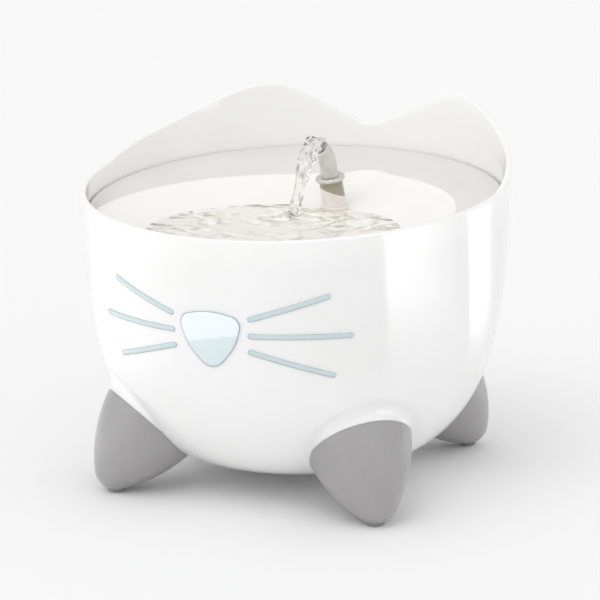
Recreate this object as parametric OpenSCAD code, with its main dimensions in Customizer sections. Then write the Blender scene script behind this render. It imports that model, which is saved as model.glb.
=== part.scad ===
// Pet water fountain: a round bowl with an eared back wall on four cone feet, a tilted
// drinking dish with a swivelling spout, a filter tray and a submersible pump.
// Millimetres. Origin on the floor under the middle of the bowl, +Z up, nose towards -Y.

/* [Bowl] */
// Outer diameter of the bowl at its rim
bowl_d = 241.2; // [220:0.2:260]
// Height at which the bowl's side stands upright
crown_z = 209; // [200:0.5:220]
// Height of the bowl's underside above the floor
bowl_base_z = 10.2; // [8:0.1:14]
// Squareness of the bowl's profile, where 2 is an ellipse
bowl_square = 3.6; // [3:0.1:4.2]
// Thickness of the bowl's wall
wall = 3; // [2.4:0.1:3.4]
// Height of the rim over the bowl's centre line
rim_z = 170.3; // [166:0.1:174]
// Angle by which the rim falls towards the front
rim_tilt = 5.3; // [4:0.1:6]

/* [Ears] */
// Height of the corner that each ear is rounded from
ear_z = 211.8; // [206:0.2:216]
// Distance of each ear from the middle
ear_x = 62.2; // [56:0.2:70]
// Radius of the ear's tip
ear_r = 42; // [20:1:46]
// Height of the corner that the notch between the ears is rounded from
notch_z = 179.8; // [178:0.2:186]
// Radius of the notch between the ears
notch_r = 23; // [15:1:30]
// Fall of the ear's outer edge, as a slope
ear_fall = 0.552; // [0.5:0.002:0.6]
// Rise of the rim along the sides behind the middle, as a slope
side_rise = 0.285; // [0.26:0.005:0.32]
// Distance behind the middle at which the rim starts to rise faster
side_y = 55; // [48:1:62]
// Rise of the rim along the ears' sides, as a slope
ear_rise = 0.46; // [0.4:0.01:0.5]

/* [Face] */
// Height of the middle of the nose
nose_z = 105; // [98:0.5:112]
// Width of the nose's corners before rounding
nose_w = 37.2; // [30:0.2:42]
// Height of the nose's corners before rounding
nose_h = 36; // [30:0.5:40]
// Depth of the nose's pocket in the wall
nose_pocket = 1.5; // [1:0.1:1.8]
// How far the face pieces stand out of the wall
face_proud = 0.3; // [0.1:0.1:0.8]
// Width of a whisker
whisker_w = 3; // [2:0.1:4]
// Direction of the whiskers' middle from the front, in degrees
whisker_dir = 22; // [20:0.5:26]
// Thickness of the clear plate behind the whiskers
window_t = 1.6; // [1.2:0.1:2.4]

/* [Feet] */
// Distance of the foot's base centre inside the bowl's edge
foot_inset = 32.6; // [31:0.1:34]
// Height of the foot's base centre
foot_z = 39; // [38:0.1:41]
// Lean of the foot's axis from upright
foot_lean = 39.6; // [38:0.1:41]
// Radius of the foot's flank arc
flank_r = 84; // [80:1:90]
// Radius of the foot's round tip
toe_r = 12.1; // [11.5:0.1:13]
// Distance from the foot's base to the centre of its tip
toe_t = 33.7; // [33:0.1:34]
// Thickness of the foot's shell
foot_wall = 3; // [2.5:0.1:3.5]
// Angle of the joint between foot and bowl
split_lean = 44.4; // [43:0.1:46]
// Diameter of the rubber pad
pad_d = 10.6; // [9:0.1:12]
// Thickness of the rubber pad
pad_t = 2.2; // [2:0.1:2.6]
// Distance of the foot screw inside the bowl's edge
screw_inset = 22.6; // [21:0.1:24]
// Diameter of the foot screw
screw_d = 3; // [2.5:0.1:3.5]
// Length of the foot screw's shank
screw_l = 12; // [9:0.5:12.5]

/* [Dish] */
// Height of the dish's rim over the bowl's centre line
dish_z = 158.3; // [156:0.1:160]
// Angle by which the dish falls towards the front
dish_tilt = 4.9; // [4:0.1:5.5]
// Angle by which the dish is turned in the bowl
dish_turn = -7; // [-12:0.5:0]
// Gap between dish and bowl
dish_gap = 1.1; // [0.9:0.1:1.4]
// Thickness of the dish
dish_t = 2.4; // [2:0.1:3]
// Width of the dish's lip
lip_w = 2.4; // [2:0.1:4]
// Height of the dish's edge
edge_h = 7.5; // [7:0.1:9]
// Radius of the inner basin at its crease
basin_r = 104; // [100:0.5:106]
// Distance of the basin's centre in front of the bowl's axis
basin_y = 28; // [26:0.5:30]
// Depth of the basin's crease below the lip
basin_w = 5.1; // [4:0.1:6]
// Radius of the pool at its edge
pool_r = 70.7; // [66:0.1:72]
// Distance of the pool's centre in front of the bowl's axis
pool_y = 25.3; // [24:0.1:27]
// Height of the pool's edge
pool_z = 144; // [143:0.1:145]
// Depth of the pool
pool_depth = 16; // [13:0.5:17]
// Distance of the thumb scoop behind the bowl's axis
scoop_y = 72; // [68:1:76]
// Width of the thumb scoop
scoop_d = 34; // [26:1:38]
// Depth of the thumb scoop
scoop_depth = 2.5; // [1.5:0.1:3]
// Width of the ledge that carries the dish
ledge_w = 6; // [5:0.1:7]
// Thickness of the ledge
ledge_t = 3; // [2:0.1:4]
// Number of overflow slots
slot_n = 7; // [5:1:9]
// Width of an overflow slot
slot_w = 3; // [2.5:0.1:4]

/* [Spout] */
// Distance of the spout and pump inside the bowl's edge
spout_inset = 73.4; // [70:0.1:75]
// Direction that the spout points from the front, in degrees
spout_dir = -23.7; // [-40:0.1:20]
// Lean of the spout's neck
neck_lean = 12; // [8:0.5:14]
// Diameter of the neck at its foot
neck_d = 15.4; // [14:0.1:15.6]
// Diameter of the neck under the collar
neck_top_d = 13.3; // [12.5:0.1:14]
// Length of the neck
neck_l = 21; // [14:0.5:24]
// Diameter of the collar
collar_d = 16.6; // [15.6:0.1:18]
// Height of the collar
collar_h = 3.2; // [2.5:0.1:4]
// Diameter of the spout's tube
tube_d = 10.4; // [9.6:0.1:11]
// Bore of the spout's tube
tube_bore = 7.2; // [6:0.1:8]
// Length of the tube's straight part
tube_l = 10; // [8:0.5:14]
// Radius of the tube's bend
bend_r = 15; // [12:0.5:18]
// Angle of the tube's bend
bend_a = 38; // [25:1:50]
// Diameter of the spout's swivel shaft
shaft_d = 16; // [15.6:0.1:17]
// Outer diameter of the dish's socket
socket_d = 22; // [21:0.5:22.6]

/* [Filter] */
// Distance between the skirt that the tray pushes on to and the bowl's edge
skirt_gap = 16.6; // [15.6:0.1:18.6]
// Distance of the skirt's centre in front of the bowl's axis
skirt_y = 36; // [34:0.5:37]
// Height of the skirt's lower edge
skirt_z = 118.5; // [117:0.5:120]
// Height of the tray's underside
tray_z = 100; // [98:0.5:102]
// Height of the tray's wall
tray_h = 25; // [23:0.5:25.5]
// Thickness of the tray
tray_t = 2; // [1.6:0.1:2.6]
// How much narrower the tray's cup is than its socket, in radius
cup_step = 8; // [6:0.5:10]
// Thickness of the foam pad
foam_h = 6; // [4:0.5:7]
// Thickness of the carbon cartridge
carbon_h = 9; // [7:0.5:9.5]

/* [Pump] */
// Height of the plinth that the pump stands on
plinth_z = 18; // [17:0.1:19]
// Height of the suction cups
cup_h = 5; // [4:0.1:6]
// Width of the pump
pump_w = 36; // [34:0.5:40]
// Length of the pump's housing
pump_l = 44; // [42:0.5:46]
// Height of the pump's housing
pump_h = 34; // [32:0.5:36]
// Depth of the pump's front cover
cover_l = 10; // [9:0.5:12]
// Radius of the impeller
impeller_r = 12.4; // [11:0.1:13]
// Number of impeller blades
blade_n = 6; // [4:1:8]
// Diameter of the rotor magnet
magnet_d = 13; // [12:0.1:13.6]
// Diameter of the impeller's shaft
pin_d = 2; // [1.6:0.1:2.4]
// Outer diameter of the riser tube
riser_d = 11; // [10.4:0.1:11.2]
// Bore of the riser tube
riser_bore = 8; // [7.4:0.1:8.4]
// Diameter of the flow dial
dial_d = 11; // [9:0.5:12]

/* [Hidden] */
$fn = 96;
e = 0.01;
big = 300;
run = 0.3;
hair = 0.05;
seam = 0.15;
disc_t = 0.3;

bowl_r = bowl_d / 2;
bowl_h = crown_z - bowl_base_z;
top_z = ear_z + 6;
room_z = 90;
room_h = 90;
plate_w = 72;
plate_h = 56;
plate_drop = 24;
dish_r = bowl_r - wall - dish_gap;
seat_gap = 0.2;
ledge_r = bowl_r - wall - ledge_w;
pool_ball = (pool_r * pool_r + pool_depth * pool_depth) / (2 * pool_depth);
pool_floor_z = pool_z - pool_depth;
scoop_ball = (scoop_d * scoop_d / 4 + scoop_depth * scoop_depth) / (2 * scoop_depth);
scoop_up = scoop_ball - scoop_depth - basin_w;
skirt_r = bowl_r - skirt_y - skirt_gap;
spout_y = bowl_r - spout_inset;
spout_pos = [-spout_y * sin(dish_turn), spout_y * cos(dish_turn)];

foot_angles = [-45, 45, -135, 135];
foot_r = bowl_r - foot_inset;
flank_a = 42;
pad_r = foot_r + toe_t * sin(foot_lean);
screw_r = bowl_r - screw_inset;
column_z = 28;
column_d = 11;
boss_d = 8;
boss_h = 24;
driver_d = 7;
screw_web = 4;
head_h = 2.4;
head_d = 5.8;

pump_z = plinth_z + cup_h;
pump_back = 12;
pump_front = pump_back - pump_l;
axle_z = pump_z + pump_h / 2;
chamber_r = impeller_r + 1.6;
chamber_l = 10;
well_r = magnet_d / 2 + 0.6;
well_end = -4;
well_wall = 1;
pump_wall = 2;
plate_t = 2.5;
elbow_z = pump_z + pump_h;
elbow_r = 6;
elbow_h = 12;
spigot_r = riser_bore / 2 - 0.15;
spigot_top = elbow_z + elbow_h + 10;
motor_y = pump_front + chamber_l + pump_wall;
outlet_y = pump_front + chamber_l / 2;
outlet_r = 4;
impeller_y = pump_front + chamber_l - 1;
seal_r = 7.2;
seal_lip = 2;
seal_h = 7;
socket_z = 122;
shaft_z = 115;
riser_top = shaft_z - seal_lip - 2 * hair;
groove = 1.2;
o_ring_r = 0.7;
o_ring_z = socket_z + 8;
clip_t = 1.6;
cup_r = skirt_r + run - cup_step;
step_z = tray_z + tray_t + foam_h + carbon_h + 0.5;
clip_gap = 0.4;
bush_l = 3;
core_x = 11.4;
core_leg = 4.8;
core_l = 20;
core_h = 14;
yoke_t = 4.5;
yoke_y = motor_y + 2 + core_l;
coil_w = 13;
coil_t = 2.4;
cover_wall = 2.5;
cover_front = 2;
cover_slack = 0.4;
inlet_pitch = 3.4;
inlet_w = 1.6;
inlet_h = 12;
front_bush_r = 3.4;
led_inset = 5.8;
led_x = led_inset - pump_w / 2;
led_w = 8;
led_h = 8;
port_z = 138;
port_y = bowl_r - 1;
port_lean = 2.4;
port_d = 9;
dial_pos = [10, axle_z - 10];
whisker_r = bowl_r - 2;

// ---- shared shapes ----

function arc(c, r, a0, a1, n) = [for (i = [0:n]) c + r * [cos(a0 + (a1 - a0) * i / n), sin(a0 + (a1 - a0) * i / n)]];

function unit(v) = v / norm(v);

// Points of one corner b, between a and c, rounded by radius r
function corner(a, b, c, r, n) =
    let (u = unit(a - b), v = unit(c - b), half = acos(u * v) / 2, m = unit(u + v))
    let (o = b + m * r / sin(half), s = b + u * r / tan(half) - o, t = b + v * r / tan(half) - o)
    let (a0 = atan2(s[1], s[0]), turn = atan2(s[0] * t[1] - s[1] * t[0], s * t))
    arc(o, r, a0, a0 + turn, n);

// Outline through corners [x, y, radius]; a radius of 0 keeps the corner sharp
function rounded(p, n = 10) = [
    for (i = [0:len(p) - 1])
        let (a = p[(i + len(p) - 1) % len(p)], b = p[i], c = p[(i + 1) % len(p)])
        for (q = b[2] == 0 ? [[b[0], b[1]]] : corner([a[0], a[1]], [b[0], b[1]], [c[0], c[1]], b[2], n)) q
];

// Superellipse profile of the bowl, grown or shrunk by g
function bowl_profile(g, n = 26) = [
    for (i = [0:n]) [
        (bowl_r + g) * pow(cos(90 * i / n), 2 / bowl_square),
        crown_z - (bowl_h + g) * pow(sin(90 * i / n), 2 / bowl_square)
    ]
];

module ring(r_out, r_in, h) {
    difference() {
        cylinder(r = r_out, h = h);
        translate([0, 0, -1]) cylinder(r = r_in, h = h + 2);
    }
}

module block(w, l, h, r) {
    linear_extrude(h) {
        square([w - 2 * r, l], center = true);
        square([w, l - 2 * r], center = true);
        for (x = [-1, 1], y = [-1, 1]) translate([x * (w / 2 - r), y * (l / 2 - r)]) circle(r);
    }
}

module bowl_solid(g = 0) {
    rotate_extrude() polygon(concat([[0, top_z], [bowl_r + g, top_z]], bowl_profile(g)));
}

module forward(y0, l) {
    translate([0, y0, 0]) rotate([90, 0, 0]) linear_extrude(l) children();
}

module each_foot() {
    for (a = foot_angles) rotate([0, 0, a]) children();
}

module tilted() {
    translate([0, 0, dish_z]) rotate([dish_tilt, 0, 0]) children();
}

module at_spout() {
    translate([spout_pos[0], spout_pos[1], 0]) children();
}

// ---- bowl ----

module back_outline() {
    end = bowl_r + 10;
    side = [[0, notch_z, notch_r], [ear_x, ear_z, ear_r], [end, ear_z - ear_fall * (end - ear_x), 0]];
    left = [for (i = [2:-1:1]) [-side[i][0], side[i][1], side[i][2]]];
    polygon(rounded(concat([[-end, 0, 0]], left, side, [[end, 0, 0]])));
}

module side_outline() {
    end = bowl_r + 10;
    side_z = rim_z + side_rise * side_y;
    polygon(rounded([
        [-end, 0, 0], [-end, rim_z - end * tan(rim_tilt), 0], [0, rim_z, 60],
        [side_y, side_z, 80], [end, side_z + ear_rise * (end - side_y), 0], [end, 0, 0]
    ]));
}

module rim_keep() {
    intersection() {
        translate([-big / 2, 0, 0]) rotate([90, 0, 90]) linear_extrude(big) side_outline();
        union() {
            forward(bowl_r + 10, bowl_r + 10) back_outline();
            translate([-big / 2, -big / 2, 0]) cube([big, big / 2, big]);
        }
    }
}

module nose_shape(grow = 0) {
    w = nose_w / 2;
    side = [[w, nose_h / 2 - 5.8], [w - 4.3, -3.5], [0, -nose_h / 2 - 1.8]];
    pts = [
        [0, nose_h / 2 - 1.8, 40], [side[0][0], side[0][1], 6], [side[1][0], side[1][1], 30],
        [0, side[2][1], 8], [-side[1][0], side[1][1], 30], [-side[0][0], side[0][1], 6]
    ];
    s = 1 + 2 * grow / nose_w;
    translate([0, nose_z]) scale([s, s]) polygon(rounded(pts));
}

function on_wall(a) = whisker_r * sin(a - whisker_dir);

// A bar from p to q with round ends
module whisker(p, q, w) {
    d = q - p;
    a = atan2(d[1], d[0]);
    polygon(concat(arc(q, w / 2, a - 90, a + 90, 8), arc(p, w / 2, a + 90, a + 270, 8)));
}

module whiskers(w) {
    rotate([0, 0, whisker_dir]) forward(-bowl_r / 2, bowl_r) {
        whisker([on_wall(11), nose_z + 12.4], [on_wall(30.6), nose_z + 25], w);
        whisker([on_wall(11), nose_z + 3], [on_wall(36.6), nose_z + 3.3], w);
        whisker([on_wall(11), nose_z - 5.8], [on_wall(32), nose_z - 18.6], w);
    }
}

module foot_axis(g) {
    o = [-(flank_r - toe_r) * cos(flank_a), toe_t - (flank_r - toe_r) * sin(flank_a)];
    flank = arc(o, flank_r + g, 0.8, flank_a, 10);
    toe = arc([0, toe_t], toe_r + g, flank_a, 90, 8);
    translate([0, -foot_r, foot_z]) rotate([180 - foot_lean, 0, 0])
        rotate_extrude() polygon(concat([[0, flank[0][1]]], flank, [for (i = [1:8]) toe[i]]));
}

module split_side(below, gap) {
    translate([0, -foot_r - 1.8, foot_z - 1]) rotate([180 - split_lean, 0, 0])
        translate([-60, -60, below ? gap : -80]) cube([120, 120, 80]);
}

module cuff() {
    intersection() {
        foot_axis(0);
        split_side(false, 0);
    }
    translate([0, -screw_r, column_z]) cylinder(d = boss_d, h = boss_h);
}

// Ring welded to the wall, tilted like the dish that rests on it
module support_ring() {
    color("white") intersection() {
        bowl_solid(-wall - seam);
        translate([0, 0, rim_z - 45]) ring(bowl_r, ledge_r, 45);
        tilted() translate([0, 0, -edge_h - seat_gap - ledge_t]) cylinder(r = big / 2, h = ledge_t);
    }
}

// Level block that the suction cups of the pump hold on to
module pump_plinth() {
    color("white") intersection() {
        bowl_solid(-wall - seam);
        at_spout() translate([0, (pump_back + pump_front) / 2, bowl_base_z])
            block(pump_w + 4, pump_l, plinth_z - bowl_base_z, 4);
    }
}

module bowl_shell() {
    color("white") difference() {
        difference() {
            union() {
                intersection() {
                    bowl_solid();
                    rim_keep();
                }
                each_foot() cuff();
            }
            bowl_solid(-wall);
        }
        each_foot() translate([0, -screw_r, column_z - e]) cylinder(d = screw_d + 2 * hair, h = screw_l - screw_web + 1);
        whiskers(whisker_w + 0.3);
        mirror([1, 0, 0]) whiskers(whisker_w + 0.3);
        difference() {
            forward(-bowl_r / 2, bowl_r) nose_shape(0.4);
            bowl_solid(-nose_pocket);
        }
        at_port() translate([0, 0, -4]) cylinder(d = port_d, h = wall + 10);
    }
}

module whisker_window() {
    color("lightblue") difference() {
        union() {
            intersection() {
                bowl_solid(face_proud);
                whiskers(whisker_w);
            }
            intersection() {
                bowl_solid(-wall - seam);
                rotate([0, 0, whisker_dir + 2]) translate([-plate_w / 2, -bowl_r, nose_z - plate_drop])
                    cube([plate_w, bowl_r, plate_h]);
            }
        }
        bowl_solid(-wall - window_t);
    }
}

module nose_lens() {
    color("lightblue") difference() {
        intersection() {
            bowl_solid(face_proud + 0.3);
            forward(-bowl_r / 2, bowl_r) nose_shape();
        }
        bowl_solid(-nose_pocket + hair);
    }
}

module at_port() {
    translate([0, port_y, port_z]) rotate([90 - port_lean, 0, 0]) children();
}

module cable_grommet() {
    color("dimgray") at_port() difference() {
        union() {
            cylinder(d = port_d - 2 * hair, h = wall + 2);
            translate([0, 0, wall + 0.3]) cylinder(d = port_d + 4, h = 2.5);
        }
        translate([0, 0, -1]) cylinder(d = 4, h = wall + 5);
    }
}

// ---- feet ----

module foot() {
    color("darkgray") difference() {
        union() {
            difference() {
                foot_axis(0);
                foot_axis(-foot_wall);
            }
            intersection() {
                foot_axis(-e);
                translate([0, -screw_r, 0]) cylinder(d = column_d, h = column_z - seam);
            }
        }
        split_side(false, 0);
        translate([0, -foot_r - 1.8, foot_z - 1]) rotate([180 - split_lean, 0, 0])
            translate([-60, -60, -1]) cube([120, 120, 1 + seam]);
        bowl_solid(seam);
        translate([0, -pad_r, -1]) cylinder(d = pad_d + 0.2, h = pad_t + 1);
        translate([0, -screw_r, -1]) cylinder(d = driver_d, h = column_z - screw_web + 1);
        translate([0, -screw_r, 0]) cylinder(d = screw_d + 0.4, h = column_z + 1);
        translate([0, -screw_r, column_z - seam]) cylinder(d = boss_d + 1, h = boss_h);
    }
}

module foot_front_left() { rotate([0, 0, foot_angles[0]]) foot(); }

module foot_front_right() { rotate([0, 0, foot_angles[1]]) foot(); }

module foot_rear_left() { rotate([0, 0, foot_angles[2]]) foot(); }

module foot_rear_right() { rotate([0, 0, foot_angles[3]]) foot(); }

module foot_screws() {
    color("silver") each_foot() translate([0, -screw_r, column_z - screw_web]) {
        cylinder(d = screw_d, h = screw_l);
        translate([0, 0, -head_h]) difference() {
            cylinder(d1 = head_d - 1.4, d2 = head_d, h = head_h);
            translate([0, 0, -e]) cylinder(d = 2, h = 1.4, $fn = 6);
        }
    }
}

module foot_pads() {
    color("dimgray") each_foot() translate([0, -pad_r, 0]) {
        cylinder(d1 = pad_d - 1, d2 = pad_d, h = 0.5);
        translate([0, 0, 0.5]) cylinder(d = pad_d, h = pad_t - 0.5 - hair);
    }
}

// ---- dish ----

module crease_disc(drop, grow) {
    tilted() rotate([0, 0, dish_turn]) translate([0, -basin_y, -basin_w - drop])
        cylinder(r = basin_r + grow, h = disc_t, $fn = 72);
}

module band_form(drop, grow) {
    hull() {
        tilted() translate([0, 0, -drop]) cylinder(r = dish_r - lip_w + 0.4 + grow, h = drop + 2, $fn = 72);
        crease_disc(drop, grow);
    }
}

module basin_form(drop, grow) {
    hull() {
        crease_disc(drop + 0.1, grow);
        rotate([0, 0, dish_turn]) translate([0, -pool_y, pool_z - disc_t - drop])
            cylinder(r = pool_r + grow, h = disc_t, $fn = 72);
    }
}

module pool_form(drop) {
    intersection() {
        rotate([0, 0, dish_turn]) translate([0, -pool_y, pool_floor_z + pool_ball])
            rotate([90, 0, 0]) sphere(r = pool_ball + drop, $fn = 180);
        translate([-big / 2, -big / 2, pool_z - 60]) cube([big, big, 60 + disc_t]);
    }
}

module skirt_at() {
    rotate([0, 0, dish_turn]) translate([0, -skirt_y, 0]) children();
}

module scoop_form(drop) {
    tilted() rotate([0, 0, dish_turn]) translate([0, scoop_y, scoop_up])
        rotate([90, 0, 0]) sphere(r = scoop_ball + drop);
}

// Room that the dish may fill: inside the wall over the ledge, inside the ledge below it
module dish_room() {
    intersection() {
        translate([0, 0, room_z]) cylinder(r = dish_r, h = room_h);
        tilted() translate([0, 0, -edge_h]) cylinder(r = big / 2, h = edge_h);
    }
    intersection() {
        translate([0, 0, room_z]) cylinder(r = ledge_r - run, h = room_h);
        tilted() translate([0, 0, -60]) cylinder(r = big / 2, h = 60);
    }
}

module drinking_dish() {
    color("white") difference() {
        intersection() {
            union() {
                band_form(dish_t, 0);
                basin_form(dish_t, 1);
                pool_form(dish_t);
                scoop_form(dish_t);
                tilted() translate([0, 0, -edge_h]) ring(dish_r + 5, dish_r - lip_w - 2, edge_h);
                skirt_at() translate([0, 0, skirt_z]) ring(skirt_r, skirt_r - dish_t, pool_z - skirt_z - 1);
                at_spout() translate([0, 0, socket_z]) cylinder(d = socket_d, h = pool_z + 14 - socket_z);
            }
            dish_room();
        }
        intersection() {
            union() {
                band_form(0, 0);
                basin_form(0, 0);
                pool_form(0);
                scoop_form(0);
            }
            tilted() translate([0, 0, -50]) cylinder(r = dish_r - lip_w, h = 80);
            union() {
                translate([-big / 2, -big / 2, pool_z]) cube([big, big, 60]);
                pool_form(0);
            }
        }
        overflow_slots();
        at_spout() translate([0, 0, socket_z - 1]) cylinder(d = shaft_d + 2 * run, h = 60);
    }
}

module overflow_slots() {
    step = 60 / (slot_n - 1);
    for (i = [0:slot_n - 1]) rotate([0, 0, dish_turn]) translate([0, -pool_y, pool_z - 8])
        rotate([0, 0, -30 + i * step]) translate([-4, -pool_r - slot_w - 1, 0]) cube([8, slot_w, 20]);
}

// ---- spout ----

module spout_frame() {
    at_spout() rotate([0, 0, spout_dir]) translate([0, 0, pool_z - 3.5]) rotate([neck_lean, 0, 0]) children();
}

module spout_bore(d) {
    translate([0, 0, -1]) cylinder(d = d, h = neck_l + collar_h + 2);
}

module spout_neck() {
    color("antiquewhite") difference() {
        union() {
            spout_frame() cylinder(d1 = neck_d, d2 = neck_top_d, h = neck_l - hair);
            at_spout() translate([0, 0, shaft_z]) cylinder(d = shaft_d, h = pool_z - 3.5 - shaft_z);
            at_spout() translate([0, 0, pool_z - 3.5]) intersection() {
                sphere(d = neck_d + 0.2);
                translate([-10, -10, -e]) cube([20, 20, 10]);
            }
        }
        spout_frame() spout_bore(tube_bore);
        at_spout() translate([0, 0, shaft_z - 1]) cylinder(d = tube_bore, h = pool_z - 3.5 - shaft_z + 2);
        at_spout() translate([0, 0, o_ring_z - o_ring_r - 0.2]) ring(shaft_d, shaft_d / 2 - groove, 2 * o_ring_r + 0.4);
        at_spout() translate([0, 0, socket_z - clip_gap - clip_t]) ring(shaft_d, shaft_d / 2 - groove, clip_t);
    }
}

module spout_collar() {
    edge = collar_h / 2;
    color("lightgray") spout_frame() translate([0, 0, neck_l]) difference() {
        union() {
            rotate_extrude() translate([collar_d / 2 - edge, edge]) circle(r = edge, $fn = 48);
            cylinder(d = collar_d - 2 * edge, h = collar_h);
        }
        translate([0, 0, -1]) cylinder(d = tube_bore, h = collar_h + 2);
        translate([0, 0, collar_h / 2]) cylinder(d = tube_d + 2 * hair, h = collar_h);
    }
}

module spout_tube() {
    color("antiquewhite") spout_frame() translate([0, 0, neck_l + collar_h / 2 + hair]) {
        ring(tube_d / 2, tube_bore / 2, tube_l + 0.5);
        translate([0, -bend_r, tube_l]) rotate([90, 0, 90]) rotate_extrude(angle = bend_a)
            translate([bend_r, 0]) difference() {
                circle(d = tube_d - 2 * hair);
                circle(d = tube_bore + 2 * hair);
            }
    }
}

module spout_o_ring() {
    color("dimgray") at_spout() translate([0, 0, o_ring_z])
        rotate_extrude() translate([shaft_d / 2 - groove + hair + o_ring_r, 0]) circle(r = o_ring_r, $fn = 32);
}

module spout_clip() {
    color("white") at_spout() translate([0, 0, socket_z - clip_gap - clip_t + hair]) difference() {
        ring(shaft_d / 2 + 2.2, shaft_d / 2 - groove + hair, clip_t - 2 * hair);
        translate([-2.5, 0, -1]) cube([5, 20, 4]);
    }
}

// ---- filter ----

module filter_tray() {
    inner = skirt_r + run;
    slot_r = cup_r - 4;
    color("gainsboro") skirt_at() difference() {
        union() {
            translate([0, 0, tray_z]) cylinder(r = cup_r + tray_t, h = tray_h);
            translate([0, 0, step_z - tray_t]) cylinder(r = inner + tray_t, h = tray_z + tray_h - step_z + tray_t);
            translate([0, 0, tray_z + tray_h - 3]) cylinder(r = inner + tray_t + 1, h = 3);
        }
        translate([0, 0, tray_z + tray_t]) cylinder(r = cup_r, h = tray_h);
        translate([0, 0, step_z]) cylinder(r = inner, h = tray_h);
        for (i = [-5:5]) translate([i * 10 - 2, -sqrt(pow(slot_r, 2) - pow(i * 10, 2)), tray_z - 1])
            cube([4, 2 * sqrt(pow(slot_r, 2) - pow(i * 10, 2)), tray_t + 2]);
    }
}

module filter_disc(z, h) {
    skirt_at() translate([0, 0, z]) cylinder(r = cup_r - 0.5, h = h);
}

module filter_foam() {
    color("aliceblue") filter_disc(tray_z + tray_t + hair, foam_h - 2 * hair);
}

module carbon_cartridge() {
    z = tray_z + tray_t + foam_h;
    color("gray") filter_disc(z, carbon_h);
}

// ---- pump ----

module pump_housing() {
    color("ivory") at_spout() difference() {
        union() {
            translate([0, (pump_back + pump_front) / 2, pump_z]) block(pump_w, pump_l, pump_h, 4);
            translate([led_x, pump_front + 7, elbow_z - 1]) block(led_w + 3.2, 12, led_h + 1, 2);
        }
        translate([0, pump_front + chamber_l, axle_z]) rotate([90, 0, 0]) cylinder(r = chamber_r, h = chamber_l + 1);
        translate([0, well_end, axle_z]) rotate([90, 0, 0]) cylinder(r = well_r, h = -pump_front);
        difference() {
            translate([0, pump_back + 1, 0]) translate([0, -(pump_back + 1 - motor_y) / 2, pump_z + pump_wall])
                block(pump_w - 2 * pump_wall, pump_back + 1 - motor_y, pump_h - 2 * pump_wall, 2);
            translate([0, well_end + well_wall, axle_z]) rotate([90, 0, 0]) cylinder(r = well_r + well_wall, h = 40);
        }
        translate([0, well_end + well_wall / 2, axle_z]) rotate([90, 0, 0]) cylinder(d = pin_d + 2 * hair, h = 10);
        translate([0, outlet_y, axle_z]) cylinder(r = outlet_r, h = pump_h);
        translate([led_x, pump_front + 4, elbow_z + 1]) translate([-led_w / 2, -10, 0]) cube([led_w, 14, led_h - 2]);
    }
}

module pump_back_plate() {
    color("ivory") at_spout() difference() {
        union() {
            translate([-pump_w / 2 + 1, pump_back + hair, pump_z + 1]) cube([pump_w - 2, plate_t, pump_h - 2]);
            translate([-pump_w / 2 + pump_wall + 0.2, pump_back - 1.5, pump_z + pump_wall + 0.2])
                cube([pump_w - 2 * pump_wall - 0.4, 1.6, pump_h - 2 * pump_wall - 0.4]);
        }
        translate([0, pump_back - 5, pump_z + 9]) rotate([-90, 0, 0]) cylinder(d = 6, h = 20);
    }
}

module cable_gland() {
    color("dimgray") at_spout() translate([0, pump_back - 2.5, pump_z + 9]) rotate([-90, 0, 0]) difference() {
        union() {
            cylinder(d = 6 - 2 * hair, h = plate_t + 3.5);
            translate([0, 0, plate_t + 2.5 + 2 * hair]) cylinder(d1 = 9, d2 = 7.4, h = 3);
        }
        translate([0, 0, -1]) cylinder(d = 3.6, h = 20);
    }
}

module stator_core() {
    color("slategray") at_spout() translate([0, 0, axle_z - core_h / 2]) {
        for (x = [-1, 1]) translate([x * core_x - core_leg / 2, motor_y + 2, 0]) cube([core_leg, core_l, core_h]);
        translate([-core_x - core_leg / 2, yoke_y, 0]) cube([2 * core_x + core_leg, yoke_t, core_h]);
    }
}

module motor_coil() {
    color("peru") at_spout() difference() {
        translate([-coil_w / 2, yoke_y - coil_t, axle_z - core_h / 2 - coil_t])
            cube([coil_w, yoke_t + 2 * coil_t, core_h + 2 * coil_t]);
        translate([-coil_w, yoke_y - hair, axle_z - core_h / 2 - hair])
            cube([2 * coil_w, yoke_t + 2 * hair, core_h + 2 * hair]);
    }
}

module impeller_shaft() {
    color("silver") at_spout() translate([0, well_end + well_wall / 2 - hair, axle_z]) rotate([90, 0, 0])
        cylinder(d = pin_d, h = -pump_front + well_end + 3);
}

module rear_bush() {
    color("dimgray") at_spout() translate([0, well_end - hair, axle_z]) rotate([90, 0, 0])
        ring(well_r - hair, pin_d / 2 + hair, bush_l);
}

module impeller() {
    color("steelblue") at_spout() translate([0, impeller_y, axle_z]) rotate([90, 0, 0]) difference() {
        union() {
            cylinder(r = impeller_r, h = 1.2);
            cylinder(r = 4, h = 7);
            for (i = [0:blade_n - 1]) rotate([0, 0, i * 360 / blade_n + 12])
                translate([3, -0.6, 0.6]) cube([impeller_r - 3.4, 1.2, 6.4]);
        }
        translate([0, 0, -1]) cylinder(r = pin_d / 2 + 0.1, h = 10);
    }
}

module rotor_magnet() {
    y = well_end - bush_l - 0.5;
    color("slategray") at_spout() translate([0, y, axle_z]) rotate([90, 0, 0])
        ring(magnet_d / 2, pin_d / 2 + 0.1, y - impeller_y - hair);
}

module front_bush() {
    color("dimgray") at_spout() translate([0, pump_front - 0.6, axle_z]) rotate([90, 0, 0])
        ring(front_bush_r, pin_d / 2 + hair, 3.4);
}

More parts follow.
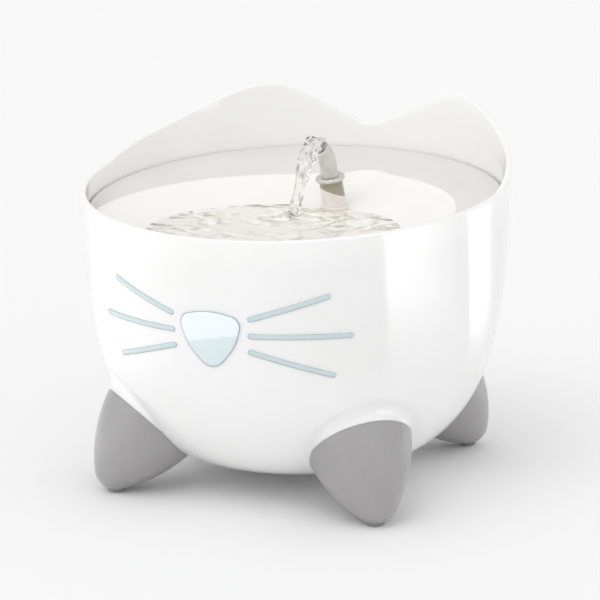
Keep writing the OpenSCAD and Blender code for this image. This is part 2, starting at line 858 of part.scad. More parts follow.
module pump_cover() {
    y = pump_front - seam;
    color("ivory") at_spout() difference() {
        translate([0, y - cover_l / 2, pump_z + 0.5]) block(pump_w - 1, cover_l, pump_h - 1, 3);
        difference() {
            cover_room(y, 0);
            translate([0, y + 1, axle_z]) rotate([90, 0, 0]) cylinder(r = 5.5, h = 20);
        }
        translate([0, y + 1, axle_z]) rotate([90, 0, 0]) ring(9, 6.6, 4);
        translate([0, y + 1, axle_z]) rotate([90, 0, 0]) cylinder(r = front_bush_r + hair, h = 5);
        for (i = [-4:4]) if (i != 0) inlet_slot(i, y, 2);
        for (i = [-4:1]) inlet_slot(i, y, -inlet_h - 2);
        translate([dial_pos[0], y - cover_l + 3, dial_pos[1]]) rotate([90, 0, 0]) cylinder(d = 4.2, h = 5);
    }
}

module inlet_slot(i, y, z) {
    translate([i * inlet_pitch - inlet_w / 2, y - cover_l - 1, axle_z + z]) cube([inlet_w, cover_front + 2, inlet_h]);
}

// Hollow of the pump's cover, shrunk by g
module cover_room(y, g) {
    side = cover_wall + g;
    translate([side - pump_w / 2, y - cover_l + cover_front + g, pump_z + side])
        cube([pump_w - 2 * side, cover_l - 2 * (cover_front + g), pump_h - 2 * side]);
}

module inlet_foam() {
    y = pump_front - seam;
    color("aliceblue") at_spout() difference() {
        cover_room(y, cover_slack);
        translate([0, y + 1, axle_z]) rotate([90, 0, 0]) cylinder(r = 5.9, h = 20);
        translate([dial_pos[0], y - cover_l + 3.6, dial_pos[1]]) rotate([90, 0, 0]) cylinder(d = 5, h = 5);
    }
}

module flow_dial() {
    y = pump_front - seam - cover_l;
    color("steelblue") at_spout() translate([dial_pos[0], y, dial_pos[1]]) rotate([90, 0, 0]) {
        translate([0, 0, -2.6]) cylinder(d = 4, h = 4);
        translate([0, 0, run]) difference() {
            cylinder(d = dial_d, h = 3);
            for (i = [0:11]) rotate([0, 0, i * 30]) translate([dial_d / 2 + 0.3, 0, -1]) cylinder(d = 1.6, h = 5);
        }
        translate([-0.8, 0, 3]) cube([1.6, dial_d / 2 - 1.2, 1]);
    }
}

module outlet_elbow() {
    duct_z = elbow_z + 7;
    color("ivory") at_spout() difference() {
        union() {
            translate([0, outlet_y / 2, elbow_z + hair]) block(2 * elbow_r, 2 * elbow_r - outlet_y, elbow_h + 2, elbow_r - 0.5);
            translate([0, outlet_y, elbow_z - 1.6]) cylinder(r = outlet_r - hair, h = 3);
            cylinder_at(0, elbow_z + elbow_h, spigot_r, spigot_top - elbow_z - elbow_h);
        }
        cylinder_at(outlet_y, elbow_z - 2, 3, duct_z - elbow_z + 2);
        translate([0, outlet_y, duct_z]) rotate([-90, 0, 0]) cylinder(r = 2.6, h = -outlet_y);
        cylinder_at(0, duct_z, 3, 40);
    }
}

module cylinder_at(y, z, r, h) {
    translate([0, y, z]) cylinder(r = r, h = h);
}

module riser_tube() {
    z = elbow_z + elbow_h + 2 + hair;
    color("whitesmoke") at_spout() translate([0, 0, z]) ring(riser_d / 2, riser_bore / 2, riser_top - z);
}

// Soft cap on the hose that the end of the spout's shaft presses on
module riser_seal() {
    color("dimgray") at_spout() translate([0, 0, shaft_z - hair]) rotate_extrude() polygon([
        [riser_bore / 2, 0], [seal_r, 0], [seal_r, -seal_h], [riser_d / 2 + hair, -seal_h],
        [riser_d / 2 + hair, -seal_lip], [riser_bore / 2, -seal_lip]
    ]);
}

module suction_cups() {
    color("dimgray") at_spout() for (x = [-11, 11], y = [pump_front + 9, pump_back - 9]) translate([x, y, plinth_z])
        rotate_extrude() polygon([
            [0, 1.8], [3, 1.5], [5.5, 0], [6.5, 0], [6, 1], [3.4, 2.6], [2.6, 3], [2.6, cup_h - hair], [0, cup_h - hair]
        ]);
}

module led_board() {
    color("seagreen") at_spout() translate([led_x - led_w / 2 + 0.3, pump_front + 2.2, elbow_z + 1.3])
        cube([led_w - 0.6, 1.2, led_h - 2.6]);
}

module led_lens() {
    color("aliceblue") at_spout() translate([led_x, pump_front + 2.15, elbow_z + 4]) rotate([90, 0, 0]) {
        cylinder(d = 5, h = 2);
        translate([0, 0, 2]) intersection() {
            sphere(d = 5);
            translate([-3, -3, -e]) cube([6, 6, 3]);
        }
    }
}

bowl_shell();
support_ring();
pump_plinth();
mirror([1, 0, 0]) whisker_window();  // whisker_window_left
whisker_window();  // whisker_window_right
nose_lens();
foot_front_left();
foot_front_right();
foot_rear_left();
foot_rear_right();
foot_screws();
foot_pads();
cable_grommet();
drinking_dish();
spout_neck();
spout_collar();
spout_tube();
spout_o_ring();
spout_clip();
filter_tray();
filter_foam();
carbon_cartridge();
riser_tube();
riser_seal();
pump_housing();
pump_back_plate();
outlet_elbow();
suction_cups();
stator_core();
motor_coil();
impeller();
rotor_magnet();
impeller_shaft();
rear_bush();
front_bush();
pump_cover();
inlet_foam();
flow_dial();
led_board();
led_lens();
cable_gland();
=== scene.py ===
# Pet water fountain: bowl with ears on cone feet, tilted drinking dish, swivel spout, filter and pump.
# Shapes are worked out in millimetres and stored in metres; the nose points to -Y.
from math import atan2, cos, degrees, exp, hypot, pi, radians, sin, sqrt, tan

import bmesh
import bpy
from mathutils import Matrix, Vector, noise


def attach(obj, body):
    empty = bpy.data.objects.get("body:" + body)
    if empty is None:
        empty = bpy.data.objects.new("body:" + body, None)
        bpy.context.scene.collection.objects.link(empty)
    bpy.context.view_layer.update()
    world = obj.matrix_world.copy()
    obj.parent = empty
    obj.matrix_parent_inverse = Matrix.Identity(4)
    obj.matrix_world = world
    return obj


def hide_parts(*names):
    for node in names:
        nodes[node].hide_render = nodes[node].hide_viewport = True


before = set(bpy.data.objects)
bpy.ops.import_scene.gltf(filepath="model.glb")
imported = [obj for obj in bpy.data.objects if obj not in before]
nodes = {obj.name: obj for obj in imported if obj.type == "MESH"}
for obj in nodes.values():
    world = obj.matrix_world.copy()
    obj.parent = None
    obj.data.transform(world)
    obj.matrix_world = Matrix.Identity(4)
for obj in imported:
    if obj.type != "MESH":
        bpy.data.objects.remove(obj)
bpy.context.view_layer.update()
print("frame loaded:", len(nodes), "nodes")

mm = 0.001


def linear(hexText):
    rgb = [int(hexText[i:i + 2], 16) / 255 for i in (1, 3, 5)]
    return [c / 12.92 if c <= 0.04045 else ((c + 0.055) / 1.055) ** 2.4 for c in rgb] + [1.0]


def addNode(tree, kind, settings, out=0):
    # settings fill sockets and properties; a value is a number, a hex colour or another node's output
    node = tree.nodes.new("ShaderNode" + kind)
    for key, value in settings.items():
        if key == "stops":
            for stop, (position, tone) in zip(node.color_ramp.elements, value):
                stop.position = position
                stop.color = linear(tone) if isinstance(tone, str) else (tone, tone, tone, 1)
        elif isinstance(key, str) and key not in node.inputs:
            setattr(node, key, value)
        else:
            fill(tree, node.inputs[key], value)
    return node.outputs[out]


def fill(tree, socket, value):
    if isinstance(value, bpy.types.NodeSocket):
        tree.links.new(value, socket)
    else:
        socket.default_value = linear(value) if isinstance(value, str) else value


sockets = {
    "base": "Base Color", "rough": "Roughness", "metal": "Metallic", "ior": "IOR", "clear": "Transmission Weight",
    "coat": "Coat Weight", "coatRough": "Coat Roughness", "sheen": "Sheen Weight", "scatter": "Subsurface Weight",
    "scatterScale": "Subsurface Scale", "scatterReach": "Subsurface Radius", "specular": "Specular IOR Level",
    "normal": "Normal", "glow": "Emission Color", "glowStrength": "Emission Strength",
}


def surface(tree, **values):
    # the material's own sockets, each from a number, a hex colour or a node's output
    for key, value in values.items():
        fill(tree, tree.nodes["Principled BSDF"].inputs[sockets[key]], value)


def newMaterial(name, **values):
    material = bpy.data.materials.new(name)
    material.use_nodes = True
    surface(material.node_tree, **values)
    return material, material.node_tree


def millimetres(tree):
    # object coordinates counted in millimetres, so that every pattern's scale is a real size
    coords = addNode(tree, "TexCoord", {}, "Object")
    return addNode(tree, "VectorMath", {"operation": "SCALE", 0: coords, "Scale": 1000.0})


def toned(tree, value, start, stop, first, second):
    # first where the value is at start, second where it is at stop, blended between
    share = addNode(tree, "MapRange", {"Value": value, "From Min": start, "From Max": stop})
    return addNode(tree, "Mix", {"data_type": "RGBA", 0: share, 6: first, 7: second}, 2)


def fromPool(tree, place):
    # distance in plan from the pool's middle
    flat = addNode(tree, "VectorMath", {"operation": "MULTIPLY_ADD", 0: place, 1: (1, 1, 0), 2: (0, 0, 0)})
    return addNode(tree, "VectorMath", {"operation": "DISTANCE", 0: flat, 1: (*poolPlace["centre"], 0)}, "Value")


def splitByRay(tree, rays, rest, these):
    # one shader for the two named kinds of ray, another for the rest
    kinds = {i: addNode(tree, "LightPath", {}, ray) for i, ray in enumerate(rays)}
    share = addNode(tree, "Math", {"operation": "MAXIMUM", **kinds})
    mix = addNode(tree, "MixShader", {0: share, 1: rest, 2: these})
    tree.links.new(mix, tree.nodes["Material Output"].inputs["Surface"])


def newObject(name, data):
    item = bpy.data.objects.new(name, data)
    bpy.context.scene.collection.objects.link(item)
    return item


def newMesh(name, points, faces):
    mesh = bpy.data.meshes.new(name)
    mesh.from_pydata(points, [], faces)
    return mesh


def cleaned(mesh):
    # vertices on one spot merged, faces turned outwards
    bm = bmesh.new()
    bm.from_mesh(mesh)
    bmesh.ops.remove_doubles(bm, verts=bm.verts, dist=2e-6)
    bmesh.ops.recalc_face_normals(bm, faces=bm.faces)
    bm.to_mesh(mesh)
    bm.free()
    return mesh


def finishMesh(name, mesh, body, finish, sharpAngle=38):
    # smooth shading with sharp edges past an angle, one finish or a list of them; the piece then rides on its body
    bm = bmesh.new()
    bm.from_mesh(cleaned(mesh))
    for face in bm.faces:
        face.smooth = True
    for edge in bm.edges:
        if len(edge.link_faces) == 2:
            edge.smooth = edge.calc_face_angle(0) < radians(sharpAngle)
    bm.to_mesh(mesh)
    bm.free()
    piece = newObject(name, mesh)
    for key in [finish] if isinstance(finish, str) else finish:
        mesh.materials.append(finishes[key])
    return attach(piece, body)


def gridMesh(name, rows, joined=False, pick=None):
    # rows of points in millimetres, each a closed loop; joined joins the last row to the first; pick gives a face's finish
    count = len(rows[0])
    faces, slots = [], []
    for i in range(len(rows) if joined else len(rows) - 1):
        for j in range(count):
            a, b = i * count, (i + 1) % len(rows) * count
            k = (j + 1) % count
            faces.append((a + j, a + k, b + k, b + j))
            slots.append(pick(i, j) if pick else 0)
    mesh = newMesh(name, [Vector(p) * mm for row in rows for p in row], faces)
    for face, slot in zip(mesh.polygons, slots):
        face.material_index = slot
    return mesh


def fullTurn(count):
    return [2 * pi * j / count for j in range(count)]


def ringOf(radius, height, count, centre=(0, 0)):
    return [(centre[0] + radius * sin(t), centre[1] - radius * cos(t), height) for t in fullTurn(count)]


def lathe(name, profile, body, finish, count, place, joined=True):
    # profile of (radius, height) turned about Z, then placed
    rows = [[place @ Vector(p) for p in ringOf(r, z, count)] for r, z in profile]
    return finishMesh(name, gridMesh(name, rows, joined=joined), body, finish)


def arc(centre, radius, start, stop, steps):
    turns = [radians(between(start, stop, i / steps)) for i in range(steps + 1)]
    return [(centre[0] + radius * cos(t), centre[1] + radius * sin(t)) for t in turns]


def roundedLine(corners, steps=12):
    # a line through (u, z, radius) corners, each rounded; the first and last stay as they are
    line = [Vector(corners[0][:2])]
    for a, b, c in zip(corners, corners[1:], corners[2:]):
        o, radius = Vector(b[:2]), b[2]
        u, v = (Vector(a[:2]) - o).normalized(), (Vector(c[:2]) - o).normalized()
        half = u.angle(v) / 2
        middle = o + (u + v).normalized() * radius / sin(half)
        first, last = o + u * radius / tan(half) - middle, o + v * radius / tan(half) - middle
        start = degrees(atan2(first.y, first.x))
        turn = degrees(atan2(first.x * last.y - first.y * last.x, first.dot(last)))
        line += [Vector(p) for p in arc(middle, radius, start, start + turn, steps)]
    return line + [Vector(corners[-1][:2])]


def heightAlong(line, u):
    for a, b in zip(line, line[1:]):
        if a.x <= u <= b.x:
            return a.y + (b.y - a.y) * (u - a.x) / max(b.x - a.x, 1e-9)
    return line[0].y if u < line[0].x else line[-1].y


def smoothMin(a, b, width):
    # the smaller of two heights, blended over width
    h = max(0, 1 - abs(a - b) / width)
    return min(a, b) - h * h * width / 4


def between(a, b, share):
    return a + (b - a) * share


def noiseAt(*place):
    return noise.noise(Vector(place))


def moved(*steps):
    return Matrix.Translation(steps)


def turned(angle, axis="Z"):
    return Matrix.Rotation(radians(angle), 4, axis)


def moulded(name, dark, light, clouds, grit, **values):
    # plastic or rubber out of a mould: two tones in clouds (size, detail) and a grit (size, detail, depth, strength), in mm
    material, tree = newMaterial(name, **values)
    place = millimetres(tree)
    mask = addNode(tree, "TexNoise", {"Scale": 1 / clouds[0], "Detail": clouds[1], "Vector": place})
    relief = addNode(tree, "TexNoise", {"Scale": 1 / grit[0], "Detail": grit[1], "Vector": place})
    surface(tree, base=addNode(tree, "ValToRGB", {"stops": ((0.3, dark), (0.7, light)), "Fac": mask}),
            normal=addNode(tree, "Bump", {"Strength": grit[3], "Distance": grit[2] * mm, "Height": relief}))
    return material


# the pool's middle, the radius that is wet and the point where the jet lands
poolPlace = {"centre": (-3.08, -25.1), "wet": 70.0, "landing": (-8.9, 17.0)}


def dishBasinAbs():
    # the same ABS, polished; under the water it carries painted streaks of light and shade that stand for what the
    # ripples gather
    material, tree = newMaterial("polishedCreamAbs", base="#F8F7F4", rough=0.16, ior=1.53, coat=0.3, coatRough=0.05)
    place = millimetres(tree)
    clouds = addNode(tree, "TexNoise", {"Scale": 1 / 45, "Detail": 1, "Vector": place})
    plain = toned(tree, clouds, 0, 1, "#F7F6F2", "#FAF9F7")
    squeeze, landing = 1.5, poolPlace["landing"]
    around = addNode(tree, "VectorMath", {
        "operation": "MULTIPLY_ADD", 0: place, 1: (1, squeeze, 0), 2: (-landing[0], -squeeze * landing[1], 0)})
    rings = addNode(tree, "TexWave", {
        "wave_type": "RINGS", "rings_direction": "SPHERICAL", "Scale": 0.02, "Distortion": 11.0, "Detail": 4.0, "Detail Scale": 2.6,
        "Vector": around}, "Fac")
    patches = addNode(tree, "TexNoise", {"Scale": 1 / 22, "Detail": 2, "Vector": place})
    streaks = "#C4C0B2"
    # painted light and shade of the ripples, in rings round the landing and in patches
    for value, start, stop, tone in ((rings, 0.04, 0.36, "#ECE9E0"), (rings, 0.6, 0.8, "#FFFFFF"), (patches, 0.38, 0.62, "#F2EFE8")):
        streaks = toned(tree, value, start, stop, streaks, tone)
    surface(tree, base=toned(tree, fromPool(tree, place), poolPlace["wet"] + 0.4, poolPlace["wet"] - 0.4, plain, streaks))
    return material


def lightGuidePc(name, tint, deep, low=None):
    # clear polycarbonate light guide over white: pale blue, with a painted shade where it is seen edge-on; low is a
    # painted shade on the nose's lower part, below a painted reflection on its upper part
    material, tree = newMaterial(name, base=tint, rough=0.13, ior=1.58, coat=0.2, coatRough=0.03)
    colour = tint
    if low:
        place = millimetres(tree)
        wave = addNode(tree, "TexNoise", {"Scale": 1 / 14, "Detail": 1, "Vector": place})
        height = addNode(tree, "VectorMath", {"operation": "DOT_PRODUCT", 0: place, 1: (-0.16, 0, 1)}, "Value")
        # wavy line between the painted reflection above and the painted shade below
        paintedReflectionEdge = addNode(tree, "Math", {"operation": "MULTIPLY_ADD", 0: wave, 1: 5.0, 2: height})
        colour = toned(tree, paintedReflectionEdge, 107.6, 109.2, low, tint)
    # painted shade where the light guide is seen edge-on
    edgeOnPaintedShade = addNode(tree, "LayerWeight", {"Blend": 0.28}, "Facing")
    surface(tree, base=toned(tree, edgeOnPaintedShade, 0.4, 0.95, colour, deep))
    return material


def platedAbs():
    # ABS plated with satin chromium: bright, slightly milky; a painted dark reflection where it is seen edge-on
    material, tree = newMaterial("satinPlatedAbs", base="#D4D5D2", rough=0.14, metal=1.0)
    haze = addNode(tree, "TexNoise", {"Scale": 1 / 3, "Detail": 2, "Vector": millimetres(tree)})
    # painted dark reflection where the collar is seen edge-on
    edgeOnPaintedShade = addNode(tree, "LayerWeight", {"Blend": 0.35}, "Facing")
    surface(tree, rough=addNode(tree, "ValToRGB", {"stops": ((0.3, 0.12), (0.7, 0.17)), "Fac": haze}),
            base=toned(tree, edgeOnPaintedShade, 0.5, 0.9, "#D4D5D2", "#5E6064"))
    return material


def neckAbs():
    # ivory ABS, glossy; a painted shadow of the collar darkens its upper part, above a plane that leans with the spout
    material, tree = newMaterial("glossIvoryAbs", base="#EFE9E2", rough=0.14, ior=1.53, coat=0.5, coatRough=0.05)
    place = millimetres(tree)
    clouds = addNode(tree, "TexNoise", {"Scale": 1 / 4, "Detail": 2, "Vector": place})
    height = addNode(tree, "VectorMath", {"operation": "DOT_PRODUCT", 0: place, 1: (0.316, 0.132, 1)}, "Value")
    # the darker tone above the plane is the painted shadow of the collar
    surface(tree, base=toned(tree, height, 161.2, 161.9, toned(tree, clouds, 0, 1, "#E9DFD6", "#F6F1EC"), "#A19A88"))
    return material


def waterClear(name, base, roughness):
    # tap water, IOR 1.33; shadow and diffuse rays pass unbent, so that light reaches what lies under it
    material, tree = newMaterial(name, base=base, rough=roughness, ior=1.333, clear=1.0)
    splitByRay(tree, ("Is Shadow Ray", "Is Diffuse Ray"), tree.nodes["Principled BSDF"].outputs[0], addNode(tree, "BsdfTransparent", {}))
    return material, tree


def poolWater():
    # rippled water, the finest ripples left to the bump, with painted dark strokes of reflection that gather at its
    # edge
    material, tree = waterClear("rippledWater", "#F8F8F4", 0.0)
    place = millimetres(tree)
    edge = addNode(tree, "MapRange", {
        "Value": fromPool(tree, place), "From Min": poolPlace["wet"] - 20, "From Max": poolPlace["wet"] - 1})
    drawnOut = addNode(tree, "VectorMath", {"operation": "MULTIPLY", 0: place, 1: (0.55, 1.7, 0)})
    wave = addNode(tree, "TexNoise", {"Scale": 1 / 9, "Detail": 2, "Vector": drawnOut})
    strokes = addNode(tree, "Math", {"operation": "MULTIPLY_ADD", 0: edge, 1: 0.17, 2: wave})
    ripples = addNode(tree, "TexNoise", {"Scale": 1 / 5, "Detail": 3, "Vector": place})
    # the dark tone is a painted reflection
    surface(tree, base=toned(tree, strokes, 0.66, 0.76, "#F8F8F4", "#686A62"),
            normal=addNode(tree, "Bump", {"Strength": 0.5, "Distance": 0.25 * mm, "Height": ripples}))
    return material


def jetWater():
    # lively water, with painted grey shade in streaks along the jet and small air bubbles in it
    material, tree = waterClear("aeratedWater", "#FAFAF7", 0.02)
    drawnOut = addNode(tree, "VectorMath", {"operation": "MULTIPLY", 0: millimetres(tree), 1: (1, 1, 0.3)})
    streaks = addNode(tree, "TexNoise", {"Scale": 1 / 2.6, "Detail": 2, "Vector": drawnOut})
    bubbles = addNode(tree, "TexNoise", {"Scale": 1 / 2.2, "Detail": 3, "Vector": drawnOut})
    # the grey tone is painted shade standing in for what the jet refracts
    surface(tree, base=addNode(tree, "ValToRGB", {"stops": ((0.55, "#FBFBF9"), (0.72, "#8E9497")), "Fac": streaks}),
            normal=addNode(tree, "Bump", {"Strength": 0.6, "Distance": 0.3 * mm, "Height": bubbles}))
    return material


def plainPlastic(name, dark, light, roughness, grit=1.0):
    # moulded plastic or rubber, or pressed ferrite, off a fine matt tool
    return moulded(name, dark, light, (grit, 3), (grit, 3, 0.04, 0.3), base=light, rough=roughness, ior=1.5)


def cellFoam(name, dark, light, cell):
    # open-celled polyurethane foam, or felt with carbon in it, cut from sheet
    material, tree = newMaterial(name, base=light, rough=0.9, sheen=0.25)
    cells = addNode(tree, "TexVoronoi", {"Scale": 1 / cell, "Vector": millimetres(tree)}, "Distance")
    surface(tree, base=addNode(tree, "ValToRGB", {"stops": ((0.15, dark), (0.55, light)), "Fac": cells}),
            normal=addNode(tree, "Bump", {"Strength": 0.9, "Distance": 0.6 * mm, "Height": cells}))
    return material


def linedMetal(name, dark, light, pitch, roughness, depth, axis="Z"):
    # turned, stacked or wound metal: fine parallel lines, pitch apart
    material, tree = newMaterial(name, base=light, rough=roughness, metal=1.0)
    lines = addNode(tree, "TexWave", {
        "Scale": 0.314 / pitch, "Distortion": 0.4, "bands_direction": axis, "Vector": millimetres(tree)}, "Fac")
    surface(tree, base=addNode(tree, "ValToRGB", {"stops": ((0.1, dark), (0.8, light)), "Fac": lines}),
            normal=addNode(tree, "Bump", {"Strength": 0.7, "Distance": depth * mm, "Height": lines}))
    return material


def riserPvc():
    # extruded clear PVC hose, faintly cloudy
    material, tree = newMaterial("clearPvcHose", base="#E3E8E6", rough=0.12, ior=1.53, clear=0.7)
    clouds = addNode(tree, "TexNoise", {"Scale": 1 / 6, "Detail": 2, "Vector": millimetres(tree)})
    surface(tree, base=addNode(tree, "ValToRGB", {"stops": ((0.3, "#DDE3E1"), (0.7, "#EAEEEC")), "Fac": clouds}))
    return material


def solderMask():
    # green solder mask with paler traces under it, 1.2 mm apart
    material, tree = newMaterial("greenSolderMask", base="#1F5C33", rough=0.3, coat=0.5, coatRough=0.1)
    traces = addNode(tree, "TexWave", {"Scale": 0.26, "Distortion": 1.5, "Vector": millimetres(tree)}, "Fac")
    surface(tree, base=addNode(tree, "ValToRGB", {"stops": ((0.6, "#1B5530"), (0.75, "#3C8752")), "Fac": traces}))
    return material


finishes = {
    # ABS moulded in a polished tool: glossy, with a faint orange peel and no visible grain
    "bowl": moulded("glossMouldedAbs", "#F5F5F4", "#F8F8F8", (60, 1), (4.5, 1, 0.02, 0.35), base="#F6F6F5", rough=0.16, ior=1.53,
                    coat=0.4, coatRough=0.04, scatter=0.22, scatterScale=0.005, scatterReach=(1, 1, 0.95)),
    # the same ABS off a spark-eroded face, satin, made greyer by a painted shade; its true grit is 0.05 mm, drawn
    # coarser so that it shows
    "band": moulded("satinMouldedAbs", "#E1DFDD", "#E6E4E2", (40, 1), (0.9, 3, 0.03, 0.4), base="#E3E1DF", rough=0.42, ior=1.53),
    "basin": dishBasinAbs(),
    # grey ABS, spark-eroded: soft satin with no mirror in it; grit of 0.1 mm drawn at 0.8 mm
    "foot": moulded("greySparkErodedAbs", "#9A9899", "#A09E9F", (0.8, 3), (0.8, 3, 0.05, 0.35), base="#9D9B9C", rough=0.42, ior=1.53,
                    coat=1.0, coatRough=0.38),
    # the nose's last colour is the painted shade on its lower part, under a painted reflection
    "nose": lightGuidePc("clearPolycarbonateNose", "#F0F9FF", "#C9DDE4", "#DCEAEE"),
    "whisker": lightGuidePc("clearPolycarbonateWhisker", "#CBDADD", "#98AFB4"),
    # the plates' edges: clear polycarbonate darkened by a painted shade where they sink into the wall
    "noseEdge": lightGuidePc("clearPolycarbonateNoseRimShade", "#A9B6BA", "#7E8B90"),
    "whiskerEdge": lightGuidePc("clearPolycarbonateWhiskerRimShade", "#8FA0A3", "#6F8184"),
    "neck": neckAbs(),
    "collar": platedAbs(),
    # moulded translucent silicone: milky, with a soft gloss and faint clouds
    "nozzle": moulded("milkySilicone", "#C9C7BF", "#DAD8D2", (5, 3), (1.4, 2, 0.04, 0.4), base="#CFCDC5", rough=0.32, ior=1.41,
                      scatter=0.2, scatterScale=0.004, scatterReach=(1, 1, 0.95)),
    "pad": plainPlastic("greyElastomerPad", "#8E8C8D", "#989697", 0.6),
    "seal": plainPlastic("blackEpdmRubber", "#26272A", "#303135", 0.55, 0.8),
    "tray": plainPlastic("naturalPolypropylene", "#D3D8DA", "#DEE2E3", 0.35, 2.0),
    "pump": plainPlastic("ivoryPumpAbs", "#DEDBD0", "#E7E4DB", 0.33, 1.5),
    "impeller": plainPlastic("blueAcetal", "#3F658C", "#4A7199", 0.3, 1.5),
    "magnet": plainPlastic("sinteredFerrite", "#2B2B2E", "#3A3A3D", 0.45, 0.5),
    "foam": cellFoam("whiteReticulatedFoam", "#B9C0C4", "#EEF0F1", 1.1),
    "carbon": cellFoam("activatedCarbonFelt", "#141416", "#3A3B3E", 1.6),
    "lamination": linedMetal("laminatedCoreSteel", "#5C6066", "#8B8F95", 0.5, 0.35, 0.1),
    "winding": linedMetal("enamelledCopperWinding", "#8A4A1E", "#C9803F", 0.45, 0.28, 0.2, axis="X"),
    "steel": linedMetal("turnedStainlessSteel", "#A9ABAD", "#C9CBCC", 0.2, 0.25, 0.02),
    "pool": poolWater(),
    "jet": jetWater(),
    "hose": riserPvc(),
    "board": solderMask(),
    # clear epoxy cast round the lamps
    "resin": newMaterial("clearLampResin", base="#F3F5F6", rough=0.06, ior=1.54, clear=0.85)[0],
}

# the solids that keep their own shape, by the finish they get
dressedNodes = {
    "foot": ["foot_front_left", "foot_front_right", "foot_rear_left", "foot_rear_right"],
    "bowl": ["support_ring", "pump_plinth"],
    "whisker": ["whisker_window_left", "whisker_window_right"],
    "seal": ["riser_seal", "cable_grommet", "spout_o_ring", "suction_cups", "rear_bush", "front_bush", "cable_gland"],
    "pump": ["pump_housing", "pump_back_plate", "outlet_elbow", "pump_cover"],
    "steel": ["foot_screws", "impeller_shaft"], "impeller": ["impeller", "flow_dial"], "magnet": ["rotor_magnet"],
    "foam": ["filter_foam", "inlet_foam"], "carbon": ["carbon_cartridge"], "tray": ["filter_tray"], "hose": ["riser_tube"],
    "lamination": ["stator_core"], "winding": ["motor_coil"], "board": ["led_board"], "resin": ["led_lens"], "basin": ["spout_clip"],
}
for finish, nodeNames in dressedNodes.items():
    for nodeName in nodeNames:
        mesh = nodes[nodeName].data
        mesh.materials.clear()
        mesh.materials.append(finishes[finish])
print("finishes made:", len(bpy.data.materials))


# the bowl: side profile, shelled wall and rim line, in millimetres and degrees
bowl = {
    "radius": 120.6, "crown": 209.0, "base": 10.2, "square": 3.6, "wall": 3.0,
    "lip": 1.2, "rim": 170.3, "tilt": 5.3, "shelf": 140.0, "columns": 400, "steps": (44, 12, 6),
    "sideRise": (55, 0.285, 0.46), "earTip": (62.2, 211.8, 42), "notch": (179.8, 23), "earFall": 0.552,
    "tipBlend": 3.0,
}


def wallRadius(z, grow=0.0):
    # superellipse side of the bowl, grown by grow
    depth = min(max((bowl["crown"] - z) / (bowl["crown"] - bowl["base"] + grow), 0), 1)
    return (bowl["radius"] + grow) * (1 - depth ** bowl["square"]) ** (1 / bowl["square"])


def wallHeight(r, grow=0.0):
    share = min(r / (bowl["radius"] + grow), 1)
    depth = (1 - share ** bowl["square"]) ** (1 / bowl["square"])
    return bowl["crown"] - (bowl["crown"] - bowl["base"] + grow) * depth


# the rim's height as seen from the side and from behind, on lines that end a little beyond the wall
far = bowl["radius"] + 10
sideAt, sideSlope, earSlope = bowl["sideRise"]
sideTop = bowl["rim"] + sideSlope * sideAt
sideLine = roundedLine([
    (-far, bowl["rim"] - far * tan(radians(bowl["tilt"])), 0), (0, bowl["rim"], 60),
    (sideAt, sideTop, 80), (far, sideTop + earSlope * (far - sideAt), 0)])
tipX, tipZ, tipR = bowl["earTip"]
edgeZ = tipZ - bowl["earFall"] * (far - tipX)
backLine = roundedLine([
    (-far, edgeZ, 0), (-tipX, tipZ, tipR), (0, bowl["notch"][0], bowl["notch"][1]), (tipX, tipZ, tipR), (far, edgeZ, 0)])


def rimHeight(turn):
    x, y = bowl["radius"] * sin(turn), -bowl["radius"] * cos(turn)
    side = heightAlong(sideLine, y)
    return side if y <= 0 else smoothMin(side, heightAlong(backLine, x), bowl["tipBlend"])


def bowlRows():
    # up the outside, over the lip and down the inside
    turns = fullTurn(bowl["columns"])
    rims = [rimHeight(t) for t in turns]
    lip, wall, shelf = bowl["lip"], bowl["wall"], bowl["shelf"]
    floorSteps, wallSteps, lipSteps = bowl["steps"]
    rows = []

    def ring(at):
        # at gives radius and height of the row for a column's rim height
        points = [at(rim) for rim in rims]
        rows.append([(r * sin(t), -r * cos(t), z) for (r, z), t in zip(points, turns)])

    def curvedPart(grow):
        reaches = [wallRadius(shelf, grow) * sin(pi / 2 * i / floorSteps) for i in range(floorSteps + 1)]
        return [(r, wallHeight(r, grow)) for r in reaches]

    def wallRing(grow, levelAt):
        ring(lambda rim: (wallRadius(levelAt(rim), grow), levelAt(rim)))

    for r, z in curvedPart(0):
        ring(lambda rim: (r, z))
    for i in range(1, wallSteps + 1):
        wallRing(0, lambda rim: between(shelf, rim - lip, i / wallSteps))
    for quarter, inset in enumerate((lip, wall - lip)):
        for i in range(1 - quarter, lipSteps + 1):
            turn = radians(between(90 * quarter, 90 * quarter + 90, i / lipSteps))
            ring(lambda rim: (wallRadius(rim - lip) - inset + lip * cos(turn), rim - lip + lip * sin(turn)))
    for i in range(1, wallSteps + 1):
        wallRing(-wall, lambda rim: between(rim - lip, shelf, i / wallSteps))
    for r, z in reversed(curvedPart(-wall)):
        ring(lambda rim: (r, z))
    return rows


bowlPiece = finishMesh("bowlShell", gridMesh("bowlShell", bowlRows()), "bowl", "bowl")
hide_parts("bowl_shell")


